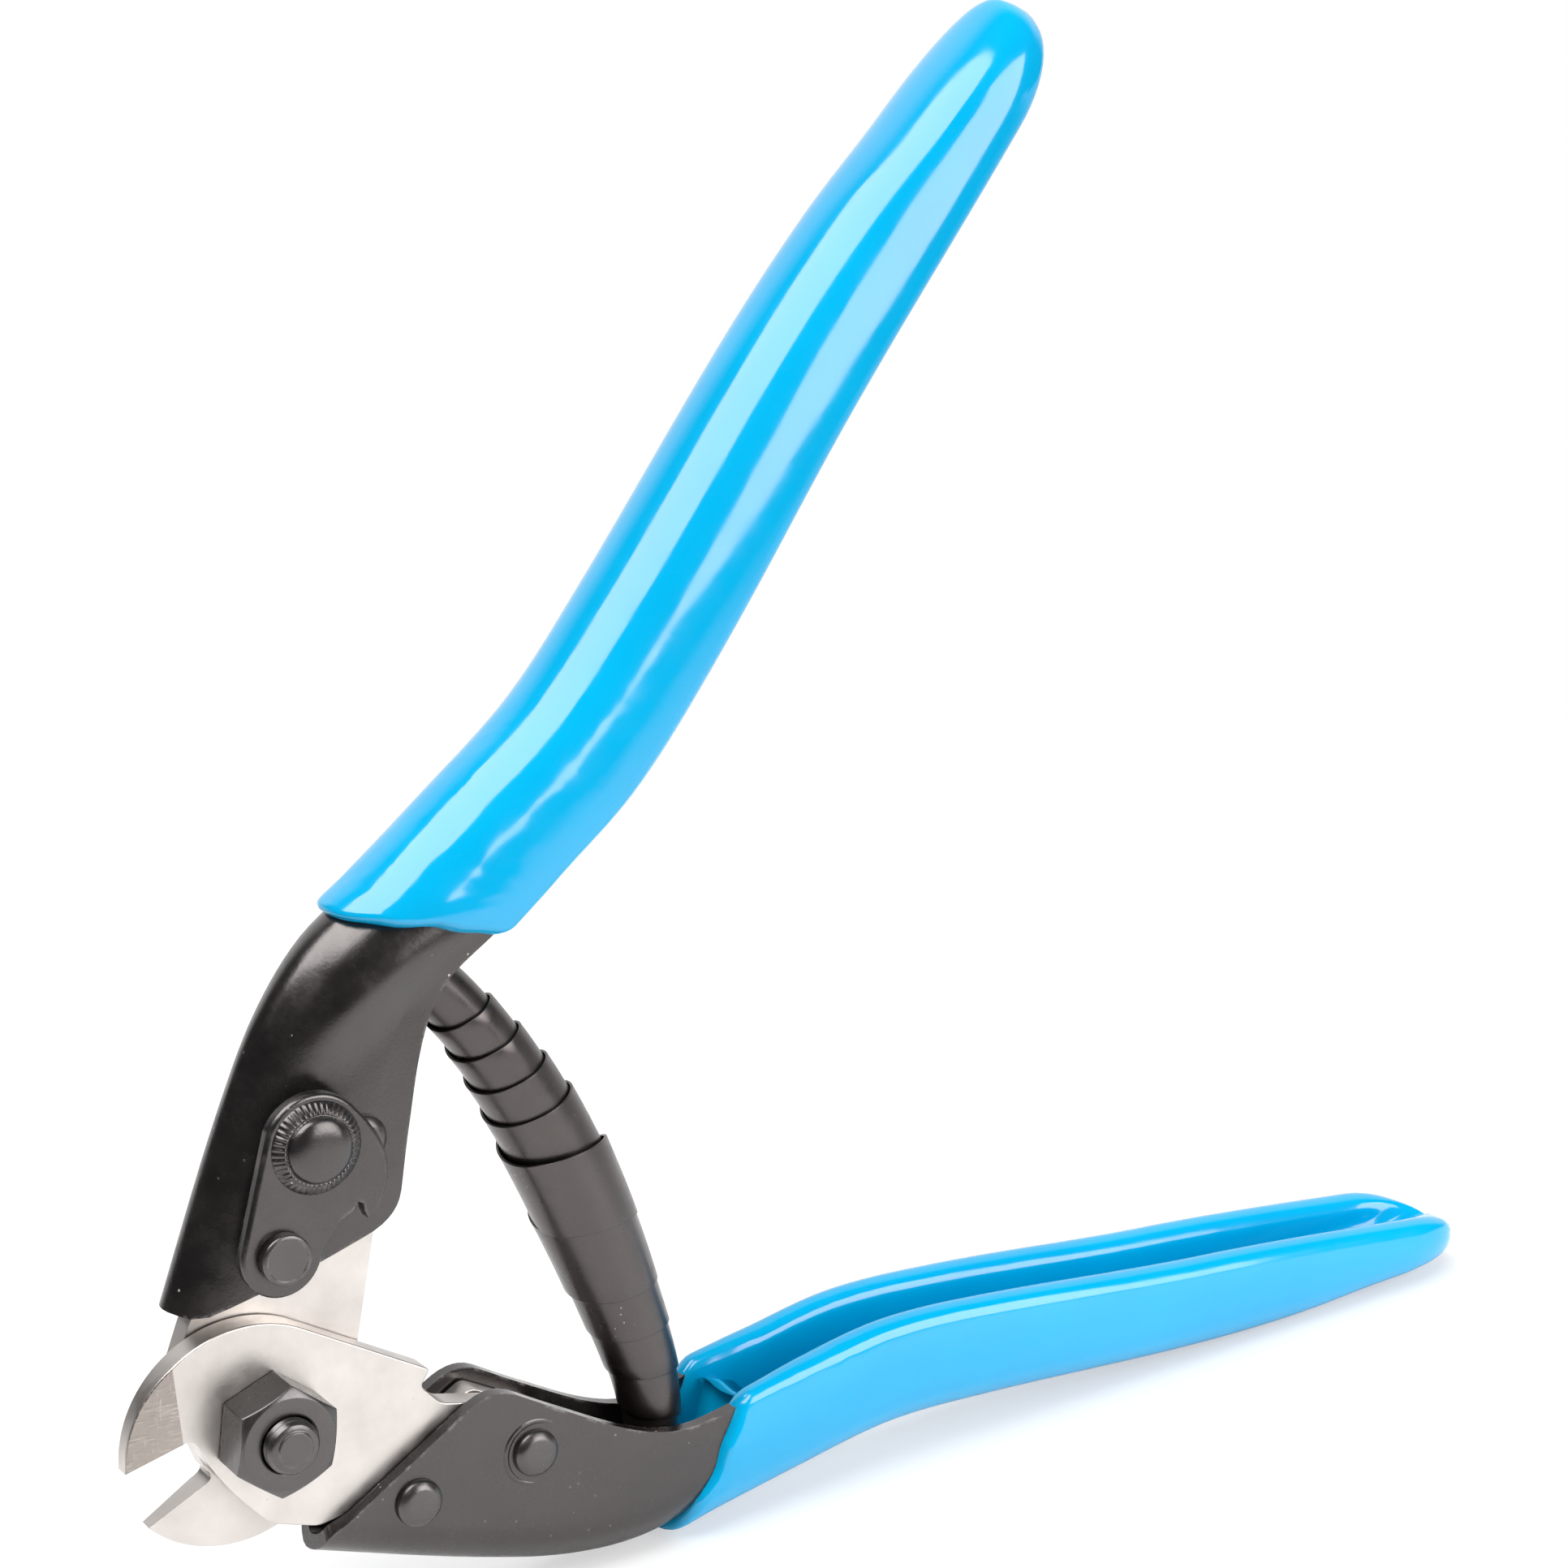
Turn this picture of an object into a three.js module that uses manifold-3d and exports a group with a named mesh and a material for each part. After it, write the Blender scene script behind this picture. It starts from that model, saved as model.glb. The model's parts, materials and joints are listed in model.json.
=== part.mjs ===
// Hand cutter for wire rope and control cable.
//
// Two pressed steel channel handles carry two hooked blades that shear past each other on one
// bolt.  A wound strip spring holds the tool open, a small swinging plate is the catch, and each
// handle is dipped in soft plastic.  Units are millimetres.
//
// One half of the tool is drawn in a flat frame of its own: the pivot axis is Y through the
// origin, X runs along the handle, and Z points towards the other half.  The second half is the
// first one turned by 180 degrees about the line that bisects the two handles.  The whole tool
// then stands upright on the back of the first (lower) handle.

import * as THREE from 'three';
import { mergeVertices } from 'three/addons/utils/BufferGeometryUtils.js';
import Module from 'manifold-3d';

const wasm = await Module();
wasm.setup();

// ---------------------------------------------------------------- driving dimensions

const OPEN_ANGLE = THREE.MathUtils.degToRad(88.5);   // between the two half frames, tool open
const FIT = 0.3;                                     // gap between pieces that touch

const BLADE = 2.9;                                   // blade thickness
const SHEAR_GAP = 0.15;                              // blade face to the shear plane y = 0
const WALL = 1.5;                                    // handle sheet thickness
const HEAD_HALF = SHEAR_GAP + BLADE + FIT + WALL;    // outer half width of the channel head
const SHANK_HALF = 6.3;                              // outer half width of the channel in the grip
const FLARE_START = 32;
const FLARE_END = 50;
const COAT = 0.9;                                    // plastic thickness

// Edges of one steel channel, seen from the side: open edge and folded back.
const OPEN_EDGE = [[2, 8.8], [23, 6.5], [31.5, 5], [41, 3.7], [47, 4.4], [53, 7.6], [60, 11.8],
  [70.5, 17.6], [84, 22], [114, 29.8], [145, 39.2], [162, 44]];
const FOLD_EDGE = [[2, -12.8], [17, -13], [30, -12.7], [39, -11.8], [47, -9.4], [54, -5],
  [63, 0.3], [75, 7], [88, 11.5], [118, 20.3], [133, 25.6], [145, 31], [162, 38]];
const STEEL_END = 149;                               // end of the steel inside the grip
const TIP_START = 148;                               // where the grip begins to round off
const TIP_END = 160;
const TIP_LIFT = 0.25;                               // share of the rounding taken off the back
const TIP_WALL = 3.5;                                // plastic beyond the steel's end

// Head of the channel: both walls are cut along one slanting line with a rounded corner.
const FOLD_START = 9;                                // the folded back begins here
const HEAD_LOW = new THREE.Vector2(9.3, -10.3);
const HEAD_CORNER = new THREE.Vector2(22.9, 6.5);
const CORNER_RADIUS = 3.2;

// The dipped plastic starts along this line.
const DIP_TOP = new THREE.Vector2(53, 9.5);
const DIP_BACK = new THREE.Vector2(49.3, -12);
const WEB_X = 57;                                    // membrane of plastic across the channel
const WEB = 1.2;

// Jaw of one blade.
const JAW_CENTRE = new THREE.Vector2(-1.3, -2.2);
const JAW_RADIUS = 12.5;
const FRONT_JAW = { tipAngle: 199.5, throat: [-8.4, -2.6] };
const REAR_JAW = { tipAngle: 206.5, throat: [-7.6, -3.2] };
const JAW_TOP_ANGLE = THREE.MathUtils.degToRad(78.5);
const GRIND_FROM = new THREE.Vector2(-11.1, 3.6);    // outer edge end of the ground facet
const GRIND_TO = new THREE.Vector2(-8.4, -2.6);      // cutting edge end of the ground facet
const GRIND_ANGLE = THREE.MathUtils.degToRad(10);

// Fasteners.
const BOLT_R = 2.9;
const NUT_FLATS = 10;
const NUT_TURN = THREE.MathUtils.degToRad(-11);      // how the nut came to rest when tightened
const NUT_HEIGHT = 5.2;
const BOLT_STICKS_OUT = 1.2;
const BOLT_HEAD = 3.6;
const PIVOT_WASHER_R = 6;
const PIVOT_WASHER = 0.8;
const RIVET_R = 1.7;
const RIVET_HEAD_R = 2.5;
const RIVET_HEAD = 1.0;
const FRONT_RIVET = new THREE.Vector2(17.9, -6);
const REAR_RIVET = new THREE.Vector2(30, 0.2);

// Catch plate, on the outside of the upper handle.
const LATCH = 1.5;
const LATCH_WASHER = 1.0;                            // lifts the plate clear of the rivet head
const LATCH_PIVOT_LOBE = 4.6;
const LATCH_BUTTON = new THREE.Vector2(28.9, -5.8);
const LATCH_BUTTON_LOBE = 5.4;
const BUTTON_R = 4.1;
const BUTTON_HEIGHT = 1.7;
const LATCH_HEAD_R = 2.8;
const LATCH_LOBE_SIDE = THREE.MathUtils.degToRad(268);   // where the two lobes meet

// Spring: one steel strip wound from both ends up to a wide middle turn, on a bent axis that
// runs from the lower channel to the upper one.
const SPRING_AXIS = [[49.2, -2.5], [44.6, 7.7], [38, 16.8], [30, 26.4], [20.2, 36.2], [10, 43.8],
  [-1.2, 49.3]];
const WIDEST = -2.65;                                 // widest turn, from the middle of the axis
const STRIP_WIDTH = 9.5;
const STRIP = 0.3;
const COIL_MAX_R = 5.45;
const COIL_STEP = 0.45;                              // radius lost per turn
const COIL_STATIONS = [[-5, -26.5], [1, 5.3], [4.5, 20.7], [5.9, 32]];   // turn, way from the widest
const FIRST_TURN = COIL_STATIONS[0][0];
const LAST_TURN = COIL_STATIONS[COIL_STATIONS.length - 1][0];
const MID_TURN_EXTRA = 4.3;                          // added pitch in the middle turn
const FLAT_TURN = 0.4;                               // half the middle turn, at full radius
const SEAT_FLANGE_R = 3;
const SEAT_FLANGE = 1.2;
const SEAT_STEM_R = 2;
const SEAT_STEM = 0.6;
const SEAT_PEG = 4;

// ---------------------------------------------------------------- materials

const material = (color, roughness, metalness) => () =>
  new THREE.MeshStandardMaterial({ color, roughness, metalness });
const blackSteel = material(0x2f2d2c, 0.5, 0.6);
const oxideSteel = material(0x1d1c1c, 0.38, 0.7);
const springSteel = material(0x262425, 0.35, 0.7);
const bladeSteel = material(0xd6d0ca, 0.32, 1);
const bluePlastic = material(0x00a3e6, 0.22, 0);

// ---------------------------------------------------------------- geometry helpers

function solid(geometry) {
  const bare = geometry.clone();
  bare.deleteAttribute('normal');
  bare.deleteAttribute('uv');
  const merged = mergeVertices(bare, 1e-4);
  return new wasm.Manifold(new wasm.Mesh({
    numProp: 3,
    vertProperties: new Float32Array(merged.attributes.position.array),
    triVerts: new Uint32Array(merged.index.array),
  }));
}

function geometryOf(manifold) {
  const mesh = manifold.getMesh();
  const geometry = new THREE.BufferGeometry();
  geometry.setAttribute('position', new THREE.Float32BufferAttribute(mesh.vertProperties, 3));
  geometry.setIndex(new THREE.Uint32BufferAttribute(mesh.triVerts, 1));
  return geometry;
}

function cut(body, ...tools) {
  return geometryOf(tools.reduce((rest, tool) => rest.subtract(solid(tool)), solid(body)));
}

// A flat plate: an outline drawn in X and Z, filling y from low to high.
function plate(shape, low, high, curveSegments = 10) {
  const depth = high - low;
  const geometry = new THREE.ExtrudeGeometry(shape, { depth, bevelEnabled: false, curveSegments });
  return geometry.rotateX(Math.PI / 2).translate(0, high, 0);
}

// A turned piece on an axis parallel to Y: profile points are [radius, y].
function turned(profile, at, segments = 16) {
  const points = profile.map(([r, y]) => new THREE.Vector2(r, y));
  return new THREE.LatheGeometry(points, segments).translate(at.x, 0, at.y);
}

function drill(radius, at, reach = 20) {
  return new THREE.CylinderGeometry(radius, radius, 2 * reach, 16).translate(at.x, 0, at.y);
}

function outline(points) {
  return new THREE.Shape(points.map(([x, z]) => new THREE.Vector2(x, z)));
}

// Joins rings of points (all of one length) into a closed body with flat ends.
function loft(rings) {
  const count = rings[0].length;
  const position = rings.flat().flatMap((p) => [p.x, p.y, p.z]);
  const index = [];
  for (let ring = 0; ring + 1 < rings.length; ring += 1) {
    for (let side = 0; side < count; side += 1) {
      const a = ring * count + side;
      const b = ring * count + (side + 1) % count;
      index.push(a, b, a + count, b, b + count, a + count);
    }
  }
  const last = (rings.length - 1) * count;
  for (let side = 1; side + 1 < count; side += 1) {
    index.push(0, side + 1, side, last, last + side, last + side + 1);
  }
  const geometry = new THREE.BufferGeometry();
  geometry.setAttribute('position', new THREE.Float32BufferAttribute(position, 3));
  geometry.setIndex(index);
  return geometry;
}

// ---------------------------------------------------------------- channel sections

// Height of a smooth curve through the given points, moved out by a normal distance.
function edgeHeight(points, x, offset) {
  let i = 1;
  while (i < points.length - 2 && x > points[i + 1][0]) i += 1;
  const slopeAt = (k) =>
    (points[k + 1][1] - points[k - 1][1]) / (points[k + 1][0] - points[k - 1][0]);
  const inner = Math.max(1, Math.min(i, points.length - 3));
  const [x0, z0] = points[inner];
  const [x1, z1] = points[inner + 1];
  const span = x1 - x0;
  const t = THREE.MathUtils.clamp((x - x0) / span, 0, 1);
  const beyond = x - x0 - t * span;
  const startSlope = slopeAt(inner);
  const endSlope = slopeAt(inner + 1);
  const bend = 3 * (z1 - z0) - (2 * startSlope + endSlope) * span;
  const twist = (startSlope + endSlope) * span - 2 * (z1 - z0);
  const slope = startSlope + (2 * bend * t + 3 * twist * t * t) / span;
  const z = z0 + startSlope * span * t + bend * t * t + twist * t ** 3 + slope * beyond;
  return z + offset * Math.hypot(1, slope);
}

const channelHalf = (x) => THREE.MathUtils.lerp(
  HEAD_HALF, SHANK_HALF, THREE.MathUtils.smoothstep(x, FLARE_START, FLARE_END));

// The tool stands on the heel of the lower grip and on a point further back: the flattest line
// from the heel that touches the grip's back is then level.
function standTilt() {
  const back = (x) => edgeHeight(FOLD_EDGE, x, -(FIT + COAT));
  const heel = DIP_BACK.x;
  let tilt = Math.PI / 2;
  for (let x = heel + 20; x <= TIP_START; x += 1) {
    tilt = Math.min(tilt, Math.atan2(back(x) - back(heel), x - heel));
  }
  return tilt;
}

// D-shaped section of a channel at x: a flat open edge and a rounded back.
function channelSection(x, half, top, back) {
  const steps = 7;
  const drop = Math.min(half, 0.7 * (top - back));
  const ring = [new THREE.Vector3(x, -half, top)];
  for (let i = 0; i <= steps; i += 1) {
    const angle = (Math.PI * i) / steps;
    ring.push(new THREE.Vector3(x, -half * Math.cos(angle), back + drop - drop * Math.sin(angle)));
  }
  ring.push(new THREE.Vector3(x, half, top));
  return ring;
}

// A body with the channel's section, grown or shrunk by an offset from the steel's outside.
// An open body runs on above the open edge, so it can cut the hollow.
function channelBody(from, to, steps, offset, isHollow) {
  const rings = [];
  for (let i = 0; i <= steps; i += 1) {
    const x = THREE.MathUtils.lerp(from, to, i / steps);
    const top = edgeHeight(OPEN_EDGE, x, isHollow ? 2 * WALL + 2 : offset);
    rings.push(channelSection(x, channelHalf(x) + offset, top, edgeHeight(FOLD_EDGE, x, -offset)));
  }
  return loft(rings);
}

// Everything on the head side of the slanting cut, with the corner of the walls rounded.
function headCut() {
  const along = HEAD_CORNER.clone().sub(HEAD_LOW).normalize();
  const before = HEAD_CORNER.clone().addScaledVector(along, -CORNER_RADIUS);
  const after = HEAD_CORNER.clone().add(new THREE.Vector2(CORNER_RADIUS, -0.4));
  const shape = new THREE.Shape();
  shape.moveTo(FOLD_START, -20);
  shape.lineTo(HEAD_LOW.x, HEAD_LOW.y);
  shape.lineTo(before.x, before.y);
  shape.quadraticCurveTo(HEAD_CORNER.x, HEAD_CORNER.y, after.x, after.y);
  shape.lineTo(after.x, 20);
  shape.lineTo(-5, 20);
  shape.lineTo(-5, -20);
  return plate(shape, -10, 10, 6);
}

function handleSteel() {
  return cut(
    channelBody(3, STEEL_END, 24, 0, false),
    channelBody(0, STEEL_END + 5, 24, -WALL, true),
    headCut(),
    drill(RIVET_R + FIT, FRONT_RIVET),
    drill(RIVET_R + FIT, REAR_RIVET));
}

// ---------------------------------------------------------------- grip

// Outside of the dipped plastic, with a rounded end.
function gripOutside() {
  const rings = [];
  const grown = FIT + COAT;
  const station = (x, squeeze) => {
    const top = edgeHeight(OPEN_EDGE, x, grown);
    const back = edgeHeight(FOLD_EDGE, x, -grown);
    const depth = top - back;
    const lifted = back + TIP_LIFT * depth * (1 - squeeze);
    const half = (channelHalf(x) + grown) * Math.sqrt(squeeze);
    rings.push(channelSection(x, half, lifted + depth * squeeze, lifted));
  };
  const straightSteps = 16;
  for (let i = 0; i < straightSteps; i += 1) {
    station(THREE.MathUtils.lerp(40, TIP_START, i / straightSteps), 1);
  }
  const tipSteps = 5;
  for (let i = 0; i < tipSteps; i += 1) {
    const angle = (Math.PI / 2) * (i / tipSteps);
    station(TIP_START + (TIP_END - TIP_START) * Math.sin(angle), Math.cos(angle));
  }
  return loft(rings);
}

function beforeDipLine() {
  const down = DIP_BACK.clone().sub(DIP_TOP).normalize();
  const high = DIP_TOP.clone().addScaledVector(down, -20);
  const low = DIP_BACK.clone().addScaledVector(down, 20);
  return plate(outline([[high.x, high.y], [20, high.y], [20, low.y], [low.x, low.y]]), -15, 15);
}

function grip() {
  const inside = -(WALL + FIT + COAT);
  const pocket = solid(channelBody(38, STEEL_END + FIT, 20, FIT, false))
    .subtract(solid(channelBody(37, STEEL_END + 2, 20, -(WALL + FIT), true)));
  const body = cut(
    gripOutside(),
    channelBody(38, WEB_X - WEB, 4, -WALL, true),
    channelBody(WEB_X, STEEL_END - TIP_WALL, 16, inside, true),
    beforeDipLine());
  return geometryOf(solid(body).subtract(pocket));
}

// ---------------------------------------------------------------- blades

function bladeOutline(jaw, hasCatchNotch) {
  const tipAngle = THREE.MathUtils.degToRad(jaw.tipAngle);
  const shape = new THREE.Shape();
  shape.absarc(JAW_CENTRE.x, JAW_CENTRE.y, JAW_RADIUS, tipAngle, JAW_TOP_ANGLE, true);
  if (hasCatchNotch) {
    shape.lineTo(16.3, 7.3);
    shape.lineTo(15.8, 5.4);
    shape.lineTo(18.6, 3.9);
  } else {
    shape.lineTo(20.8, 7);
  }
  shape.lineTo(25, 4.6);
  shape.lineTo(33, 3.4);
  shape.quadraticCurveTo(37, -0.5, 33, -5);
  shape.lineTo(20, -8.7);
  shape.lineTo(10.6, -8.7);
  shape.lineTo(8.6, -9.8);
  shape.lineTo(3.4, -9.9);
  shape.quadraticCurveTo(-1.8, -7.6, -6.1, -3.6);
  shape.quadraticCurveTo(jaw.throat[0] + 1.1, jaw.throat[1] + 0.9, ...jaw.throat);
  return shape;
}

// The outer face of the jaw is ground thinner towards its tip, from one straight line.
function grindTool() {
  const along = GRIND_FROM.clone().sub(GRIND_TO);
  const middle = GRIND_FROM.clone().add(GRIND_TO).multiplyScalar(0.5);
  const depth = 12;
  const block = new THREE.BoxGeometry(40, depth, 40).translate(-20, -depth / 2, 0);
  block.rotateZ(-GRIND_ANGLE);
  block.rotateY(Math.atan2(along.x, along.y));
  return block.translate(middle.x, -(SHEAR_GAP + BLADE), middle.y);
}

function blade(jaw, hasCatchNotch) {
  return cut(
    plate(bladeOutline(jaw, hasCatchNotch), -(SHEAR_GAP + BLADE), -SHEAR_GAP, 14),
    grindTool(),
    drill(BOLT_R + FIT, pivotCentre),
    drill(RIVET_R + FIT, FRONT_RIVET),
    drill(RIVET_R + FIT, REAR_RIVET));
}

// Fills the half of the channel that the other blade leaves empty.
function spacer() {
  const shape = outline([[12, -8.7], [23.6, 4.9], [33, 3.4], [35, 0.5], [33, -5], [20, -8.7]]);
  return cut(
    plate(shape, SHEAR_GAP, SHEAR_GAP + BLADE),
    drill(RIVET_R + FIT, FRONT_RIVET),
    drill(RIVET_R + FIT, REAR_RIVET));
}

// ---------------------------------------------------------------- fasteners

// Solid rivet with a low domed head outside each wall.
function rivet(at) {
  const under = HEAD_HALF + FIT / 2;
  const crown = under + RIVET_HEAD;
  const half = [[RIVET_R, under], [RIVET_HEAD_R, under], [RIVET_HEAD_R, under + 0.4 * RIVET_HEAD],
    [0.7 * RIVET_HEAD_R, crown - 0.1], [0, crown]];
  const mirrored = half.map(([r, y]) => [r, -y]).reverse();
  return turned([...mirrored, ...half], at);
}

const latchLow = HEAD_HALF + FIT / 2 + LATCH_WASHER + FIT / 2;
const latchHigh = latchLow + LATCH;

// Longer rivet that holds the front of the upper handle and is the hinge of the catch.
function latchRivet() {
  const under = HEAD_HALF + FIT / 2;
  const over = latchHigh + FIT / 2;
  return turned([
    [0, -under - RIVET_HEAD], [0.7 * RIVET_HEAD_R, -under - RIVET_HEAD + 0.1],
    [RIVET_HEAD_R, -under - 0.4 * RIVET_HEAD], [RIVET_HEAD_R, -under], [RIVET_R, -under],
    [RIVET_R, over], [LATCH_HEAD_R, over], [LATCH_HEAD_R, over + 0.7],
    [LATCH_HEAD_R - 0.4, over + 1], [0, over + 1.1]], FRONT_RIVET);
}

function latchWasher() {
  const low = HEAD_HALF + FIT / 2;
  const high = low + LATCH_WASHER;
  const inner = RIVET_R + FIT;
  return turned([[inner, low], [LATCH_PIVOT_LOBE - 0.8, low], [LATCH_PIVOT_LOBE - 0.8, high],
    [inner, high], [inner, low]], FRONT_RIVET);
}

const bladeFace = SHEAR_GAP + BLADE;
const nutTop = -(bladeFace + FIT / 2 + NUT_HEIGHT);
const washerLow = bladeFace + FIT / 2;
const headUnder = washerLow + PIVOT_WASHER + FIT / 2;
const pivotCentre = new THREE.Vector2(0, 0);

function hexagon(flats) {
  const corner = flats / Math.sqrt(3);
  const points = [];
  for (let i = 0; i < 6; i += 1) {
    const angle = NUT_TURN + (Math.PI / 3) * i;
    points.push([corner * Math.sin(angle), corner * Math.cos(angle)]);
  }
  return outline(points);
}

// Hexagon nut, corners chamfered at the outer end.
function pivotNut() {
  const corner = NUT_FLATS / Math.sqrt(3);
  const under = nutTop + NUT_HEIGHT;
  const envelope = turned([[0, nutTop], [corner - 0.75, nutTop], [corner + 0.05, nutTop + 0.5],
    [corner + 0.05, under], [0, under]], pivotCentre, 36);
  const bore = drill(BOLT_R + FIT, pivotCentre);
  return geometryOf(solid(plate(hexagon(NUT_FLATS), nutTop, under))
    .intersect(solid(envelope)).subtract(solid(bore)));
}

function pivotWasher() {
  const inner = BOLT_R + FIT;
  const high = washerLow + PIVOT_WASHER;
  return turned([[inner, washerLow], [PIVOT_WASHER_R, washerLow], [PIVOT_WASHER_R, high],
    [inner, high], [inner, washerLow]], pivotCentre, 24);
}

// Bolt with a hexagon head behind the rear blade; its peened end stands out of the nut.
function pivotBolt() {
  const end = nutTop - BOLT_STICKS_OUT;
  const shank = turned([[0, end], [BOLT_R - 0.9, end], [BOLT_R - 0.2, end + 0.6], [BOLT_R, end + 1.2],
    [BOLT_R, headUnder + 0.5], [0, headUnder + 0.5]], pivotCentre, 20);
  const head = plate(hexagon(NUT_FLATS), headUnder, headUnder + BOLT_HEAD);
  return geometryOf(solid(shank).add(solid(head)));
}

// ---------------------------------------------------------------- catch

function latchPlate() {
  const shape = new THREE.Shape();
  const pivot = FRONT_RIVET;
  const button = LATCH_BUTTON;
  const hookSide = THREE.MathUtils.degToRad(70);
  const backSide = THREE.MathUtils.degToRad(395);
  shape.absarc(pivot.x, pivot.y, LATCH_PIVOT_LOBE, hookSide, LATCH_LOBE_SIDE, false);
  shape.absarc(button.x, button.y, LATCH_BUTTON_LOBE, LATCH_LOBE_SIDE, backSide, false);
  shape.quadraticCurveTo(31.2, 3.6, 26.4, 3.7);
  shape.quadraticCurveTo(24, 3.7, 22.9, 2.1);
  shape.lineTo(24.1, 0.6);
  shape.lineTo(22.4, -0.9);
  const crown = [];
  const steps = 5;
  for (let i = 0; i <= steps; i += 1) {
    const angle = (Math.PI / 2) * (i / steps);
    crown.push([BUTTON_R * Math.cos(angle), latchHigh + BUTTON_HEIGHT * Math.sin(angle)]);
  }
  const rooted = latchHigh - LATCH / 3;
  const dome = turned([[0, rooted], [BUTTON_R, rooted], ...crown], LATCH_BUTTON, 20);
  return geometryOf(solid(plate(shape, latchLow, latchHigh)).add(solid(dome))
    .subtract(solid(drill(RIVET_R + FIT, FRONT_RIVET))));
}

// ---------------------------------------------------------------- spring

const axisCurve = new THREE.CatmullRomCurve3(
  SPRING_AXIS.map(([x, z]) => new THREE.Vector3(x, 0, z)));
const axisLength = axisCurve.getLength();
const Y = new THREE.Vector3(0, 1, 0);

// Point of the bent spring axis at a distance from its lower end.
const share = (distance) => THREE.MathUtils.clamp(distance / axisLength, 0, 1);
const springAxis = (distance) => axisCurve.getPointAt(share(distance));
const springDirection = (distance) => axisCurve.getTangentAt(share(distance));

// Turns are counted from the middle; the radius holds over the middle turn, then falls.
function coilRadius(turn) {
  const outer = Math.abs(turn);
  const firstDrop = THREE.MathUtils.clamp((outer - FLAT_TURN) / 0.2, 0, 1);
  return COIL_MAX_R - COIL_STEP * (firstDrop + Math.max(0, outer - FLAT_TURN - 0.2));
}

function coilDistance(turn) {
  const after = Math.max(1, COIL_STATIONS.findIndex(([station]) => station >= turn - 1e-9));
  const [[t0, d0], [t1, d1]] = [COIL_STATIONS[after - 1], COIL_STATIONS[after]];
  const along = THREE.MathUtils.mapLinear(turn, t0, t1, d0, d1);
  const spread = THREE.MathUtils.smoothstep(turn, -FLAT_TURN, FLAT_TURN) - 0.5;
  return axisLength / 2 + WIDEST + along + MID_TURN_EXTRA * spread;
}

function volute() {
  const perTurn = 14;
  const steps = Math.round((LAST_TURN - FIRST_TURN) * perTurn);
  const rings = [];
  for (let i = 0; i <= steps; i += 1) {
    const turn = Math.min(FIRST_TURN + i / perTurn, LAST_TURN);
    const angle = -2 * Math.PI * turn;
    const corner = (radius, distance) => springAxis(distance)
      .addScaledVector(Y.clone().cross(springDirection(distance)), radius * Math.cos(angle))
      .addScaledVector(Y, radius * Math.sin(angle));
    const low = coilDistance(turn) - STRIP_WIDTH / 2;
    const high = low + STRIP_WIDTH;
    const radius = coilRadius(turn);
    rings.push([
      corner(radius + STRIP / 2, low), corner(radius + STRIP / 2, high),
      corner(radius - STRIP / 2, high), corner(radius - STRIP / 2, low)]);
  }
  return loft(rings);
}

// Peg that centres the lower end of the spring; its flange carries the strip.
function springSeat() {
  const profile = [[0, 0], [SEAT_STEM_R, 0], [SEAT_STEM_R, SEAT_STEM], [SEAT_FLANGE_R, SEAT_STEM],
    [SEAT_FLANGE_R, SEAT_STEM + SEAT_FLANGE], [SEAT_STEM_R, SEAT_STEM + SEAT_FLANGE],
    [SEAT_STEM_R, SEAT_STEM + SEAT_FLANGE + SEAT_PEG], [0, SEAT_STEM + SEAT_FLANGE + SEAT_PEG]];
  const points = profile.map(([r, y]) => new THREE.Vector2(r, y));
  const geometry = new THREE.LatheGeometry(points, 14);
  const end = springAxis(0);
  geometry.translate(0, -SEAT_STEM - SEAT_FLANGE, 0);
  geometry.applyQuaternion(new THREE.Quaternion().setFromUnitVectors(Y, springDirection(0)));
  return geometry.translate(end.x, end.y, end.z);
}

// ---------------------------------------------------------------- assembly

function piece(name, geometry, makeMaterial) {
  const mesh = new THREE.Mesh(geometry, makeMaterial());
  mesh.name = name;
  return mesh;
}

const lower = new THREE.Group();
lower.add(
  piece('lower_handle', handleSteel(), blackSteel),
  piece('lower_grip', grip(), bluePlastic),
  piece('front_blade', blade(FRONT_JAW, true), bladeSteel),
  piece('lower_spacer', spacer(), bladeSteel),
  piece('lower_front_rivet', rivet(FRONT_RIVET), oxideSteel),
  piece('lower_rear_rivet', rivet(REAR_RIVET), oxideSteel),
  piece('lower_spring_seat', springSeat(), oxideSteel),
  piece('pivot_nut', pivotNut(), oxideSteel),
  piece('pivot_bolt', pivotBolt(), oxideSteel),
  piece('pivot_washer', pivotWasher(), oxideSteel),
  piece('volute_spring', volute(), springSteel));

const upper = new THREE.Group();
upper.add(
  piece('upper_handle', handleSteel(), blackSteel),
  piece('upper_grip', grip(), bluePlastic),
  piece('rear_blade', blade(REAR_JAW, false), bladeSteel),
  piece('upper_spacer', spacer(), bladeSteel),
  piece('upper_rear_rivet', rivet(REAR_RIVET), oxideSteel),
  piece('latch_rivet', latchRivet(), oxideSteel),
  piece('latch_washer', latchWasher(), oxideSteel),
  piece('latch', latchPlate(), oxideSteel),
  piece('upper_spring_seat', springSeat(), oxideSteel));
const bisector = new THREE.Vector3(Math.cos(OPEN_ANGLE / 2), 0, Math.sin(OPEN_ANGLE / 2));
upper.quaternion.setFromAxisAngle(bisector, Math.PI);

const tool = new THREE.Group();
tool.add(lower, upper);
tool.rotation.y = standTilt();

// The origin is under the middle of the tool, on the surface that it stands on.
const box = new THREE.Box3().setFromObject(tool, true);
const middle = box.getCenter(new THREE.Vector3());
tool.position.set(-middle.x, -middle.y, -box.min.z);

const cutter = new THREE.Group();
cutter.add(tool);

export default cutter;
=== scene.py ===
import bisect
import json
import math

import bmesh
import bpy
from mathutils import Matrix, Vector


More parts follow.
